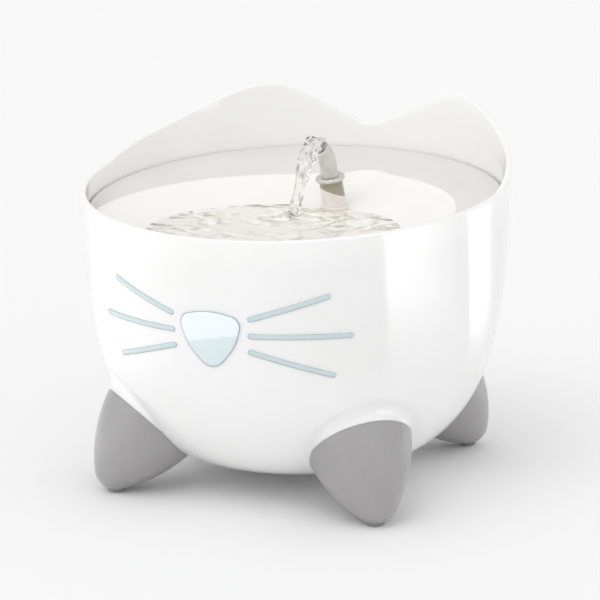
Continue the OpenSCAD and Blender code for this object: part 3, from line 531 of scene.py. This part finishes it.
# the dish: lip, slanting band, basin and pool
dish = {
    "height": 158.3, "tilt": 4.9, "radius": 116.5, "lip": 2.4, "round": 0.7, "edge": 7.5, "thick": 2.4,
    "centre": (-3.41, -27.8), "crease": 5.1, "sag": 0.56, "turn": -7, "columns": 360,
    "poolRadius": 70.7, "poolHeight": 144.2, "poolDepth": 16, "shelf": 145.2,
    "edgePoints": 6, "bandSteps": 8, "basinSteps": 14, "poolSteps": 12,
    # distance of the crease from the dish's centre, by degrees clockwise from the back
    "creaseReach": [(-180, 104), (-125, 105), (-94, 105.6), (-73, 103.2), (-58, 100.6), (-42, 98), (-29, 95.8), (-15, 95.2),
                    (-6, 97), (1, 101), (5, 109), (8.5, 113.6), (12, 113.4), (17, 110.2), (27, 109.9), (39, 109.4), (50, 107),
                    (61, 103.6), (74, 100.2), (100, 100), (140, 102.5), (180, 104)],
    # outer radius, inner radius and underside of the two rings under it
    "skirtAt": (-4.387, -35.73), "skirt": (68, 65.6, 118.5), "socketAt": (5.752, 46.848), "socket": (11, 8.3, 122),
    "slots": 7, "slotSpan": 60, "slotLength": 8, "slotWidth": 3, "slotGap": 1, "slotCut": (-8, 12),
}


def poolFloor(share):
    # height of the pool's floor at a share of its radius
    return dish["poolHeight"] - dish["poolDepth"] * (1 - share ** 2.2)


def smoothTable(table, u):
    # soft curve through a short table of (u, value)
    n = len(table)
    for i in range(n - 1):
        if table[i][0] <= u <= table[i + 1][0]:
            break
    (u0, a), (u1, b) = table[i], table[i + 1]
    before, after = table[max(i - 1, 0)], table[min(i + 2, n - 1)]
    slopeA = (b - before[1]) / max(u1 - before[0], 1e-6)
    slopeB = (after[1] - a) / max(after[0] - u0, 1e-6)
    s, span = (u - u0) / (u1 - u0), u1 - u0
    return ((2 * s ** 3 - 3 * s ** 2 + 1) * a + (s ** 3 - 2 * s ** 2 + s) * span * slopeA
            + (3 * s ** 2 - 2 * s ** 3) * b + (s ** 3 - s ** 2) * span * slopeB)


def reachTo(centre, radius, turn):
    # distance from the dish's centre to a circle, in direction turn from the back
    ox, oy = dish["centre"][0] - centre[0], dish["centre"][1] - centre[1]
    dx, dy = sin(turn), cos(turn)
    along = ox * dx + oy * dy
    return -along + sqrt(along * along - ox * ox - oy * oy + radius * radius)


def dishSection(turn):
    # points (reach, height) of the dish's upper face from its outer edge to the pool's floor
    def lipAt(reach):
        return dish["height"] + (dish["centre"][1] + cos(turn) * reach) * tan(radians(dish["tilt"]))

    outer, inner = reachTo((0, 0), dish["radius"], turn), reachTo((0, 0), dish["radius"] - dish["lip"], turn)
    pool = reachTo(poolPlace["centre"], dish["poolRadius"], turn)
    crease = smoothTable(dish["creaseReach"], degrees(turn))
    creaseZ, poolZ = lipAt(crease) - dish["crease"], dish["poolHeight"]
    soft, lipFoot = dish["round"], lipAt(inner) - 0.15
    shape = [(outer, lipAt(outer) - dish["edge"]), (outer, lipAt(outer) - soft), (outer - soft * 0.3, lipAt(outer) - soft * 0.3),
             (outer - soft, lipAt(outer)), (inner + soft * 0.5, lipAt(inner)), (inner, lipFoot)]

    def basinZ(reach):
        return max(between(creaseZ, poolZ, (crease - reach) / (crease - pool)), poolZ)

    # where the crease runs out into the lip, the basin starts at the lip's inner edge
    bandEnd = min(crease, inner - 0.3)
    bandEndZ = creaseZ if crease < inner - 0.3 else max(dish["shelf"], basinZ(inner), basinZ(bandEnd))
    for steps, start, stop, sag in ((dish["bandSteps"], (inner, lipFoot), (bandEnd, bandEndZ), 0),
                                    (dish["basinSteps"], (bandEnd, bandEndZ), (pool, poolZ), dish["sag"])):
        for i in range(1, steps + 1):
            share = i / steps
            shape.append((between(start[0], stop[0], share), between(start[1], stop[1], share) - sag * sin(pi * share)))
    for i in range(1, dish["poolSteps"] + 1):
        share = 1 - i / dish["poolSteps"]
        shape.append((pool * share, poolFloor(share)))
    return shape


def dishRows():
    turns = [radians(-180 + 360 * j / dish["columns"]) for j in range(dish["columns"])]
    columns = [[(dish["centre"][0] + sin(turn) * reach, dish["centre"][1] + cos(turn) * reach, height)
                for reach, height in dishSection(turn)] for turn in turns]
    top = [list(row) for row in zip(*columns)]
    under = [[(x, y, z - dish["thick"]) for x, y, z in row] for row in reversed(top[dish["edgePoints"] - 1:])]
    return top + under, len(top)


def dishTop(x, y):
    # height of the dish's upper face over a point
    dx, dy = x - dish["centre"][0], y - dish["centre"][1]
    reach = hypot(dx, dy)
    section = dishSection(atan2(dx, dy))
    for a, b in zip(section, section[1:]):
        if b[0] <= reach <= a[0]:
            return between(b[1], a[1], (reach - b[0]) / max(a[0] - b[0], 1e-6))
    return section[-1][1]


def underRing(name, centre, sizes, count):
    # a ring that hangs under the dish from low up into its floor
    outer, inner, low = sizes
    rows = [ringOf(r, low, count, centre) for r in (outer, outer, inner, inner)]
    for row in rows[1:3]:
        row[:] = [(x, y, dishTop(x, y) - dish["thick"] / 2) for x, y, _ in row]
    piece = finishMesh(name, gridMesh(name, rows, joined=True), "dish", "band")


def overflowSlots():
    # short slots side by side just in front of the pool's edge, as one cutter
    points, faces = [], []
    near = dish["poolRadius"] + dish["slotGap"]
    far = near + dish["slotWidth"]
    for i in range(dish["slots"]):
        spin = moved(*poolPlace["centre"], 0) @ turned(dish["turn"] + dish["slotSpan"] * (i / (dish["slots"] - 1) - 0.5))
        first = len(points)
        for z in (dish["poolHeight"] + cut for cut in dish["slotCut"]):
            corners = ((-1, near), (1, near), (1, far), (-1, far))
            points += [spin @ Vector((x * dish["slotLength"] / 2, -y, z)) * mm for x, y in corners]
        loops = ((0, 1, 2, 3), (7, 6, 5, 4), (0, 4, 5, 1), (1, 5, 6, 2), (2, 6, 7, 3), (3, 7, 4, 0))
        faces += [[first + k for k in loop] for loop in loops]
    return cleaned(newMesh("overflowSlots", points, faces))


def carved(mesh, cutter):
    # the mesh with the cutter taken out of it; both are closed
    whole, tool = newObject("whole", cleaned(mesh)), newObject("cutter", cutter)
    cut = whole.modifiers.new("cut", "BOOLEAN")
    cut.operation, cut.solver, cut.object = "DIFFERENCE", "EXACT", tool
    result = bpy.data.meshes.new_from_object(whole.evaluated_get(bpy.context.evaluated_depsgraph_get()))
    for item in (whole, tool):
        bpy.data.objects.remove(item)
    return result


dishLayers, topCount = dishRows()
basinFrom = dish["edgePoints"] + dish["bandSteps"] - 1
dishMesh = gridMesh("drinkingDish", dishLayers, joined=True, pick=lambda i, j: 1 if basinFrom <= i < topCount else 0)
for finish in ("band", "basin"):
    dishMesh.materials.append(finishes[finish])
dishPiece = finishMesh("drinkingDish", carved(dishMesh, overflowSlots()), "dish", [], 20)
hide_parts("drinking_dish")
underRing("dishSkirt", dish["skirtAt"], dish["skirt"], 144)
underRing("dishSocket", dish["socketAt"], dish["socket"], 64)
print("bowl and dish made")


# the cone feet, and the cuffs that swell out of the bowl round them
foot = {
    "flank": 84.0, "toe": 12.1, "toeAt": 33.7, "meet": 42.0, "inset": 32.6, "height": 39.0, "lean": 39.6,
    "splitLean": 44.4, "split": (-1.8, -1.0), "edge": 0.6, "fillet": 6.0, "sink": 1.5, "columns": 120,
    "rows": 17, "turns": (-45, 45, -135, 135), "padReach": 109.48,
    "pad": [(0, 0), (3.2, 0), *arc((3.2, 2.1), 2.1, -90, 0, 6), (5.3, 2.15), (0, 2.15)],
}
footFrame = moved(0, foot["inset"] - bowl["radius"], foot["height"]) @ turned(180 - foot["lean"], "X")
splitNormal = turned(180 - foot["splitLean"], "X") @ Vector((0, 0, 1))
splitPoint = Vector((0, foot["inset"] - bowl["radius"] + foot["split"][0], foot["height"] + foot["split"][1]))
meet = radians(foot["meet"])
flankCentre = ((foot["toe"] - foot["flank"]) * cos(meet), foot["toeAt"] - (foot["flank"] - foot["toe"]) * sin(meet))


def onFlank(a, turn):
    # point of the foot's cone at flank angle a
    reach, along = flankCentre[0] + foot["flank"] * cos(a), flankCentre[1] + foot["flank"] * sin(a)
    return footFrame @ Vector((reach * cos(turn), reach * sin(turn), along))


def solve(test, low, high):
    # angle between low and high where test changes sign
    for _ in range(40):
        middle = (low + high) / 2
        if (test(middle) > 0) == (test(high) > 0):
            high = middle
        else:
            low = middle
    return (low + high) / 2


def outsideBowl(p):
    # positive outside the bowl's outer surface, with the outward direction there
    power, radius, depth = bowl["square"], bowl["radius"], bowl["crown"] - bowl["base"]
    r, d = hypot(p.x, p.y), max(bowl["crown"] - p.z, 1e-6)
    side = (r / radius) ** (power - 1) / radius / r
    slope = Vector((p.x * side, p.y * side, -(d / depth) ** (power - 1) / depth))
    return ((r / radius) ** power + (d / depth) ** power - 1) / power, slope


def ontoBowl(p, sink=0.0):
    # the point moved on to the bowl's outer surface, or sink below it
    p = Vector(p)
    for _ in range(6):
        value, slope = outsideBowl(p)
        p -= slope * value / slope.length_squared
    return p - outsideBowl(p)[1].normalized() * sink


def cuffColumn(turn):
    # the cuff's section at one angle of the foot: split face, flank, and the fillet that runs out on the wall
    edgeAt = solve(lambda a: (onFlank(a, turn) - splitPoint).dot(splitNormal), -0.5, meet)
    edge = onFlank(edgeAt, turn)
    if outsideBowl(edge)[0] <= 0:
        return [ontoBowl(edge, foot["sink"])] * foot["rows"]
    wallAt = solve(lambda a: outsideBowl(onFlank(a, turn))[0], -0.6, edgeAt)
    corner = onFlank(wallAt, turn)
    reach = min(foot["fillet"], (corner - edge).length * 0.9)
    lower = onFlank(wallAt + reach / foot["flank"], turn)
    outward = outsideBowl(corner)[1].normalized()
    axisPoint = footFrame @ Vector((0, 0, (footFrame.inverted() @ corner).z))
    away = corner - axisPoint
    away = (away - outward * away.dot(outward)).normalized()
    upper = ontoBowl(corner + away * foot["fillet"])
    inner = edge + (axisPoint - corner).normalized() * foot["edge"]
    shy = onFlank(edgeAt - foot["edge"] / foot["flank"] * 0.5, turn)
    column = [ontoBowl(edge, foot["sink"]), inner, edge.lerp(inner, 0.2), shy]
    column += [shy.lerp(lower, i / 3) for i in (1, 2)]
    column += [lower.lerp(corner, i / 9).lerp(corner.lerp(upper, i / 9), i / 9) for i in range(10)]
    return column + [ontoBowl(upper, foot["sink"])]


cuffColumns = [cuffColumn(turn) for turn in fullTurn(foot["columns"])]
for footTurn in foot["turns"]:
    place = turned(footTurn)
    rows = [[place @ column[i] for column in cuffColumns] for i in range(len(cuffColumns[0]))]
    cuff = finishMesh("footCuff%d" % footTurn, gridMesh("footCuff", rows, joined=True), "bowl", "bowl", 30)
    pad = lathe("footPad%d" % footTurn, foot["pad"], "bowl", "pad", 40,
                place @ moved(0, -foot["padReach"], 0), joined=False)
    if footTurn == foot["turns"][0]:
        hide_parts("foot_pads")
print("cuffs and pads made")


face = {
    "height": 105.0, "whiskerTurn": 22, "whiskerRadius": 118.6, "whiskerWidth": 3.0, "whiskerGrid": (30, 8),
    "whiskers": [((11, 12.4), (30.6, 25)), ((11, 3), (36.6, 3.3)), ((11, -5.8), (32, -18.6))],
    "nose": [(0, 16.2, 40), (18.6, 12.2, 6), (14.3, -3.5, 30), (0, -19.8, 8), (-14.3, -3.5, 30), (-18.6, 12.2, 6)],
    # (inset, height over the wall, shift of the outline) from the back's middle to the front's middle
    "whiskerSteps": [(1.5, -0.8, 0), (0, -0.8, 0), (0, 0.0, 0), (0.05, 0.25, 0.02), (0.3, 0.42, 0.14), (0.42, 0.5, 0.16),
                     (0.9, 0.58, 0.1), (1.5, 0.6, 0)],
    "noseSteps": [(18, -1.2, 0), (0, -1.2, 0), (0, 0, 0), (0.1, 0.4, 0.03), (0.55, 0.75, 0.3), (0.7, 0.8, 0.34), (1.9, 1.05, 0.3),
                  (2.1, 0.95, 0.3), (2.4, 1.0, 0.3), (5, 1.25, 0.2), (9, 1.5, 0.1), (13, 1.62, 0), (18, 1.65, 0)],
    "noseReach": 18,
}
grommet = {"height": 138, "sink": 1, "lean": 87.6, "membrane": [(0, -0.6), (2.4, -0.6), (2.4, 0.6), (0, 0.6)]}


def closedOutline(corners, steps=10):
    # the closed polygon through (x, z, radius) corners, with 6 points along each straight side
    points = roundedLine([corners[-1]] + corners + corners[:1], steps)[1:-1]
    filled = []
    for a, b in zip(points, points[1:] + points[:1]):
        count = 6 if (b - a).length > 3 else 1
        filled += [a.lerp(b, i / count) for i in range(count)]
    return filled


def facePlate(name, rowAt, steps, turn, mirror, finish, edgeLast):
    # a plate that follows the wall; its edge, up to row edgeLast, has the darker finish, a painted shade where the
    # plate sinks into the wall
    spin = turned(turn)
    rows = []
    for inset, proud, shift in steps:
        row = []
        for x, z in rowAt(inset):
            x, z = x + shift * mirror, z + shift
            r = wallRadius(z, proud)
            point = spin @ Vector((x, -sqrt(max(r * r - x * x, 0)), z))
            row.append((point.x * mirror, point.y, point.z))
        rows.append(row)
    plate = gridMesh(name, rows, pick=lambda i, j: 1 if 1 <= i < edgeLast else 0)
    piece = finishMesh(name, plate, "bowl", [finish, finish + "Edge"], 25)
    return piece


noseLine = closedOutline(face["nose"])


def noseRow(inset):
    share = 1 - inset / face["noseReach"]
    return [(p.x * share, face["height"] + p.y * share) for p in noseLine]


def whiskerRow(first, last, inset):
    # outline of one light bar with round ends, shrunk by inset
    half = face["whiskerWidth"] / 2 - inset
    ends = [Vector((face["whiskerRadius"] * sin(radians(a - face["whiskerTurn"])), face["height"] + z))
            for a, z in (first, last)]
    along = (ends[1] - ends[0]).normalized()
    across = Vector((-along.y, along.x))
    sideSteps, endSteps = face["whiskerGrid"]
    row = []
    for start, stop, side in ((*ends, half), (*reversed(ends), -half)):
        row += [start.lerp(stop, i / sideSteps) + across * side for i in range(sideSteps + 1)]
        row += [stop + (across * cos(pi * i / endSteps) + along * sin(pi * i / endSteps)) * side for i in range(1, endSteps)]
    return row


nose = facePlate("noseLens", noseRow, face["noseSteps"], 0, 1, "nose", 5)
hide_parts("nose_lens")
for mirror in (1, -1):
    for k, (first, last) in enumerate(face["whiskers"]):
        facePlate("whisker%s%d" % ("Left" if mirror < 0 else "Right", k), lambda inset: whiskerRow(first, last, inset),
                  face["whiskerSteps"], face["whiskerTurn"], mirror, "whisker", 4)
grommetPlace = moved(0, bowl["radius"] - grommet["sink"], grommet["height"]) @ turned(-grommet["lean"], "X")
membrane = lathe("grommetMembrane", grommet["membrane"], "bowl", "seal", 24, grommetPlace, joined=False)
print("nose and whiskers made")


neckTop = 20.9  # upper end of the neck, along its leaning axis
spout = {
    "turn": -23.7, "lean": 12, "foot": 140.5, "straight": 10.0, "bend": (15, 38), "tube": (5.2, 3.6), "steps": (5, 14, 8),
    # profiles of (radius, height): foot ring and shaft stand upright in the dish, neck and collar on the leaning axis
    "footRing": [(8.2, 141), (8.9, 143.4), (8.9, 144.7), *arc((8.1, 144.9), 0.8, 0, 90, 5), (7.5, 145.9), (6.8, 145.4), (6.8, 141)],
    "neck": [(0, 0.5), (7.5, 0.5), (7.7, 3.2), (7.45, 5.5), (7.2, 8), (6.95, 13), (6.7, neckTop - 0.5), (6.5, neckTop), (0, neckTop)],
    "shaft": [(3.6, 115), (7.6, 115), (8, 115.4), (8, 141), (3.6, 141)],
    "collar": [(5.25, neckTop + 0.2)] + [(7.0 + 1.55 * x, neckTop + 1.6 + 1.45 * z) for x, z in arc((0, 0), 1, -90, 90, 16)]
              + [(5.25, neckTop + 3.0)],
}
spoutBase = moved(*dish["socketAt"], 0)
spoutFrame = spoutBase @ turned(spout["turn"]) @ moved(0, 0, spout["foot"]) @ turned(spout["lean"], "X")
ringPiece = lathe("spoutFootRing", spout["footRing"], "spout", "neck", 64, spoutBase)
neckPiece = lathe("spoutNeck", spout["neck"], "spout", "neck", 72, spoutFrame, joined=False)
shaftPiece = lathe("spoutShaft", spout["shaft"], "spout", "neck", 64, spoutBase)
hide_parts("spout_neck")
collarPiece = lathe("spoutCollar", spout["collar"], "spout", "collar", 96, spoutFrame)
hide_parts("spout_collar")


def tubeRows():
    # outer skin up to a rounded mouth, then the bore back down
    straight, (bend, bendAngle), (outer, bore) = spout["straight"], spout["bend"], spout["tube"]
    straightSteps, bendSteps, mouthSteps = spout["steps"]
    low = neckTop + 1.2
    path = [(Vector((0, 0, low + straight * i / straightSteps)), 0.0) for i in range(straightSteps + 1)]
    for i in range(1, bendSteps + 1):
        a = radians(bendAngle * i / bendSteps)
        path.append((Vector((0, -bend * (1 - cos(a)), low + straight + bend * sin(a))), a))
    end, slope = path[-1]
    ahead = Vector((0, -sin(slope), cos(slope)))
    wall = (outer - bore) / 2
    rings = [(point, a, outer - 0.25 * sin(2.2 * k / (len(path) - 1))) for k, (point, a) in enumerate(path)]
    for i in range(1, mouthSteps):
        t = pi * i / mouthSteps
        rings.append((end + ahead * wall * sin(t), slope, bore + wall + wall * cos(t) - 0.2))
    rings += [(point, a, bore) for point, a in reversed(path)]
    rows = []
    for point, a, radius in rings:
        lift = Vector((0, -cos(a), -sin(a)))
        rows.append([spoutFrame @ (point + Vector((1, 0, 0)) * radius * cos(t) + lift * radius * sin(t))
                     for t in fullTurn(64)])
    return rows


tubePiece = finishMesh("spoutTube", gridMesh("spoutTube", tubeRows(), joined=True), "spout", "nozzle")
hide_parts("spout_tube")
print("spout made")


water = {
    "level": 144.4, "reach": 71.4, "rings": 110, "columns": 360, "skin": 0.5, "underRings": 24, "overlap": 0.4,
    "ripple": 0.34, "wavelength": 8.5, "fade": 46.0, "chop": 0.3,
    # shares of the reach where the ripples die out and where the meniscus rises, and its height
    "calmFrom": 0.94, "meniscusFrom": 0.975, "meniscus": 0.35, "drops": 7, "jetSteps": 7, "jetColumns": 56,
    # centreline of the jet: distance ahead of the spout's foot, height over the water, thickness radius
    "jet": [(8.6, 33.0, 3.0), (9.9, 35.4, 3.5), (12.0, 37.9, 4.2), (14.9, 39.2, 4.6), (18.3, 38.6, 4.5), (21.6, 35.8, 4.2),
            (24.4, 31.0, 4.3), (26.8, 25.0, 4.1), (28.9, 18.2, 3.5), (30.7, 11.2, 3.3), (32.3, 4.8, 3.5), (33.5, 0.6, 3.9),
            (33.9, -0.5, 4.3)],
}


def rippleHeight(x, y):
    # rings round the jet's landing, bent and crossed by a chop, with a mound and a dip where it lands
    dx, dy = x - poolPlace["landing"][0], y - poolPlace["landing"][1]
    away = hypot(dx, dy)
    turn = atan2(dy, dx)
    bend = 2.2 * noiseAt(x * 0.035, y * 0.035, 3.7) + 0.9 * noiseAt(x * 0.09, y * 0.09, 9.1)
    rings = water["ripple"] * sin(2 * pi * away / water["wavelength"] + 4 * bend) * exp(-away / water["fade"])
    chop = water["chop"] * (noiseAt(x * 0.13, y * 0.07, 1.3) + 0.6 * noiseAt(x * 0.27, y * 0.2, 5.9))
    mound = 0.9 * exp(-(away - 4.5) ** 2 / 5) - 0.8 * exp(-away ** 2 / 7)
    return rings + chop * min(1, away / 12) + mound * (1 + 0.3 * sin(3 * turn))


def poolRows():
    # the rippled surface out to the rim, then its underside close over the pool's floor
    columns, centre = water["columns"], poolPlace["centre"]
    rows = []
    for i in range(water["rings"] + 1):
        share = i / water["rings"]
        still = 1 - max(0, (share - water["calmFrom"]) / (1 - water["calmFrom"])) ** 2
        meniscus = water["meniscus"] * max(0, (share - water["meniscusFrom"]) / (1 - water["meniscusFrom"]))
        level = ringOf(water["reach"] * share, water["level"] + meniscus, columns, centre)
        rows.append([(x, y, z + rippleHeight(x, y) * still) for x, y, z in level])
    for i in range(water["underRings"], -1, -1):
        share = i / water["underRings"]
        rows.append(ringOf((water["reach"] + water["overlap"]) * share, poolFloor(share) - water["skin"], columns, centre))
    return rows


poolPiece = finishMesh("poolWater", gridMesh("poolWater", poolRows()), "dish", "pool", 60)


def smoothPath(points, steps):
    # a soft curve through the points
    path = []
    for i in range(len(points) - 1):
        a, b, c, d = (Vector(points[k]) for k in (max(i - 1, 0), i, i + 1, min(i + 2, len(points) - 1)))
        for k in range(steps):
            t = k / steps
            path.append(0.5 * (2 * b + (c - a) * t + (2 * a - 5 * b + 4 * c - d) * t * t + (3 * b - a - 3 * c + d) * t ** 3))
    return path + [Vector(points[-1])]


def lumps(share, turn):
    # ropes of water twisting round each other, and beads where they part
    twist = turn + 5.2 * share
    rope = 0.16 * cos(2 * twist) + 0.06 * cos(3 * twist + 14 * share)
    bead = 0.26 * noiseAt(cos(turn) * 1.2, sin(turn) * 1.2, share * 13)
    fine = 0.12 * noiseAt(cos(turn) * 2.6, sin(turn) * 2.6, share * 34)
    return 1 + (rope + bead + fine) * min(1, 0.35 + share * 3)


def jetRows():
    # a round section carried along the jet's path without twist
    stations = smoothPath(water["jet"], water["jetSteps"])
    forward = turned(spout["turn"]) @ Vector((0, -1, 0))
    start = Vector((*dish["socketAt"], water["level"]))
    path = []
    for i, (reach, up, _) in enumerate(stations):
        share = i / len(stations)
        drift = Vector((noiseAt(share * 7, 2.5, 0), noiseAt(share * 7, 8.5, 0), 0)) * 0.7 * share
        path.append(start + forward * reach + Vector((0, 0, up)) + drift)
    side = (path[1] - path[0]).normalized().orthogonal().normalized()
    turns, last = fullTurn(water["jetColumns"]), len(path) - 1
    rows = [[path[0]] * len(turns)]
    for i, point in enumerate(path):
        ahead = (path[min(i + 1, last)] - path[max(i - 1, 0)]).normalized()
        side = (side - ahead * side.dot(ahead)).normalized()
        up = ahead.cross(side)
        rows.append([point + (side * cos(t) + up * sin(t)) * (stations[i].z * lumps(i / last, t)) for t in turns])
    return rows + [[path[-1]] * len(turns)]


jet = finishMesh("waterJet", gridMesh("waterJet", jetRows()), "spout", "jet")


# beads thrown up where the jet lands
for k in range(water["drops"]):
    spin, away = k * 2.4, 4.5 + 2.6 * noiseAt(k * 3.1, 0.5, 0)
    x, y = poolPlace["landing"][0] + away * cos(spin), poolPlace["landing"][1] + away * sin(spin)
    size = 0.7 + 0.35 * sin(k * 1.7)
    profile = [(size * sin(pi * i / 10), -size * cos(pi * i / 10)) for i in range(11)]
    dropPlace = moved(x, y, water["level"] + 0.9 + 0.5 * size)
    drop = lathe("splashDrop%d" % k, profile, "spout", "jet", 20, dropPlace, joined=False)
print("water made")


view = {
    "azimuth": 22.68, "elevation": 13.82, "distance": 1319.8, "aim": (0, 0, 99.2), "roll": -0.3,
    "optics": {"lens": 139.27, "sensor_width": 36, "shift_x": 0.0062, "clip_end": 50},
}
lighting = {
    "world": 0.85, "floor": "#F6F6F6", "floorReach": 40,
    # strength, direction towards the lamp, size in degrees
    "suns": {
        "keySun": (0.43, (-0.1, -0.5, 0.86), 40),
        "lowFill": (0.36, (-0.7, -0.67, 0.22), 60),
        "rightFill": (0.15, (0.74, -0.42, 0.52), 60),
    },
    # first and last direction, in degrees from the front, fade-in in metres, strength
    "cards": {
        "cardRight": ((66, 118), (0.22, 0.55), 3.8),
        "cardBehind": ((119, 148), (0.2, 0.45), 3.9),
        "cardLeft": ((-60, -20), (0.12, 0.3), 1.9),
        "cardFarLeft": ((-60, -130), (0.12, 0.3), 1.9),
        "flagFront": ((65, -20), (0.14, 0.3), 0.3),
    },
    "cardBase": 0.93, "cardReach": 4, "cardHeight": 0.002, "cardSteps": 16,
}


def aimCamera():
    az, el = radians(view["azimuth"]), radians(view["elevation"])
    back = Vector((sin(az) * cos(el), -cos(az) * cos(el), sin(el)))
    camera = newObject("camera", bpy.data.cameras.new("camera"))
    for key, value in view["optics"].items():
        setattr(camera.data, key, value)
    camera.location = (Vector(view["aim"]) + back * view["distance"]) * mm
    camera.rotation_euler = (back.to_track_quat("Z", "Y").to_matrix().to_4x4() @ turned(view["roll"])).to_euler()
    bpy.context.scene.camera = camera


def sun(name, strength, direction, softness):
    lamp = bpy.data.lights.new(name, "SUN")
    lamp.energy = strength
    lamp.angle = radians(softness)
    newObject(name, lamp).rotation_euler = Vector(direction).to_track_quat("Z", "Y").to_euler()


def stageMesh(name, points, faces, material):
    item = newObject(name, newMesh(name, points, faces))
    item.data.materials.append(material)


def floorCard(name, turns, fadeIn, strength):
    # a card on the floor beside the object, between two directions, that only gloss and glass show; it is full at the
    # first direction and past the fade-in, and fades to the floor's own level
    first, last = turns
    count = lighting["cardSteps"]
    base = lighting["cardBase"]
    material, tree = newMaterial(name, base="#000000", rough=1.0, specular=0.0, glow="#FFFFFF")
    coords = addNode(tree, "TexCoord", {}, "Object")
    place = addNode(tree, "VectorMath", {"operation": "MULTIPLY", 0: coords, 1: (1, -1, 1)})
    split = addNode(tree, "SeparateXYZ", {0: place}).node.outputs
    turn = addNode(tree, "Math", {"operation": "ARCTAN2", 0: split["X"], 1: split["Y"]})
    reach = addNode(tree, "VectorMath", {"operation": "LENGTH", 0: place}, "Value")
    across, outwards = (
        addNode(tree, "MapRange", {"interpolation_type": "SMOOTHSTEP", "Value": value, "From Min": start, "From Max": stop})
        for value, start, stop in ((turn, radians(last), radians(first)), (reach, *fadeIn)))
    share = addNode(tree, "Math", {"operation": "MULTIPLY", 0: across, 1: outwards})
    surface(tree, glowStrength=addNode(tree, "Math", {"operation": "MULTIPLY_ADD", 0: share, 1: strength - base, 2: base}))
    splitByRay(tree, ("Is Glossy Ray", "Is Transmission Ray"), addNode(tree, "BsdfTransparent", {}),
               tree.nodes["Principled BSDF"].outputs[0])
    edge = [radians(between(first, last, i / count)) for i in range(count + 1)]
    points = [(r * sin(t), -r * cos(t), lighting["cardHeight"]) for r in (fadeIn[0], lighting["cardReach"]) for t in edge]
    stageMesh(name, points, [(i, i + 1, i + count + 2, i + count + 1) for i in range(count)], material)


def studio():
    world = bpy.data.worlds.new("studio")
    bpy.context.scene.world = world
    world.use_nodes = True
    background = world.node_tree.nodes["Background"]
    background.inputs["Color"].default_value = linear("#FFFFFF")
    background.inputs["Strength"].default_value = lighting["world"]
    reach = lighting["floorReach"]
    corners = [(x * reach, y * reach, 0) for x, y in ((-1, -1), (1, -1), (1, 1), (-1, 1))]
    stageMesh("floor", corners, [(0, 1, 2, 3)], newMaterial("paleFloor", base=lighting["floor"], rough=0.9, specular=0.0)[0])
    for name, values in lighting["suns"].items():
        sun(name, *values)
    for name, values in lighting["cards"].items():
        floorCard(name, *values)
    bpy.context.scene.view_settings.view_transform = "Standard"


aimCamera()
studio()
print("camera and light placed")
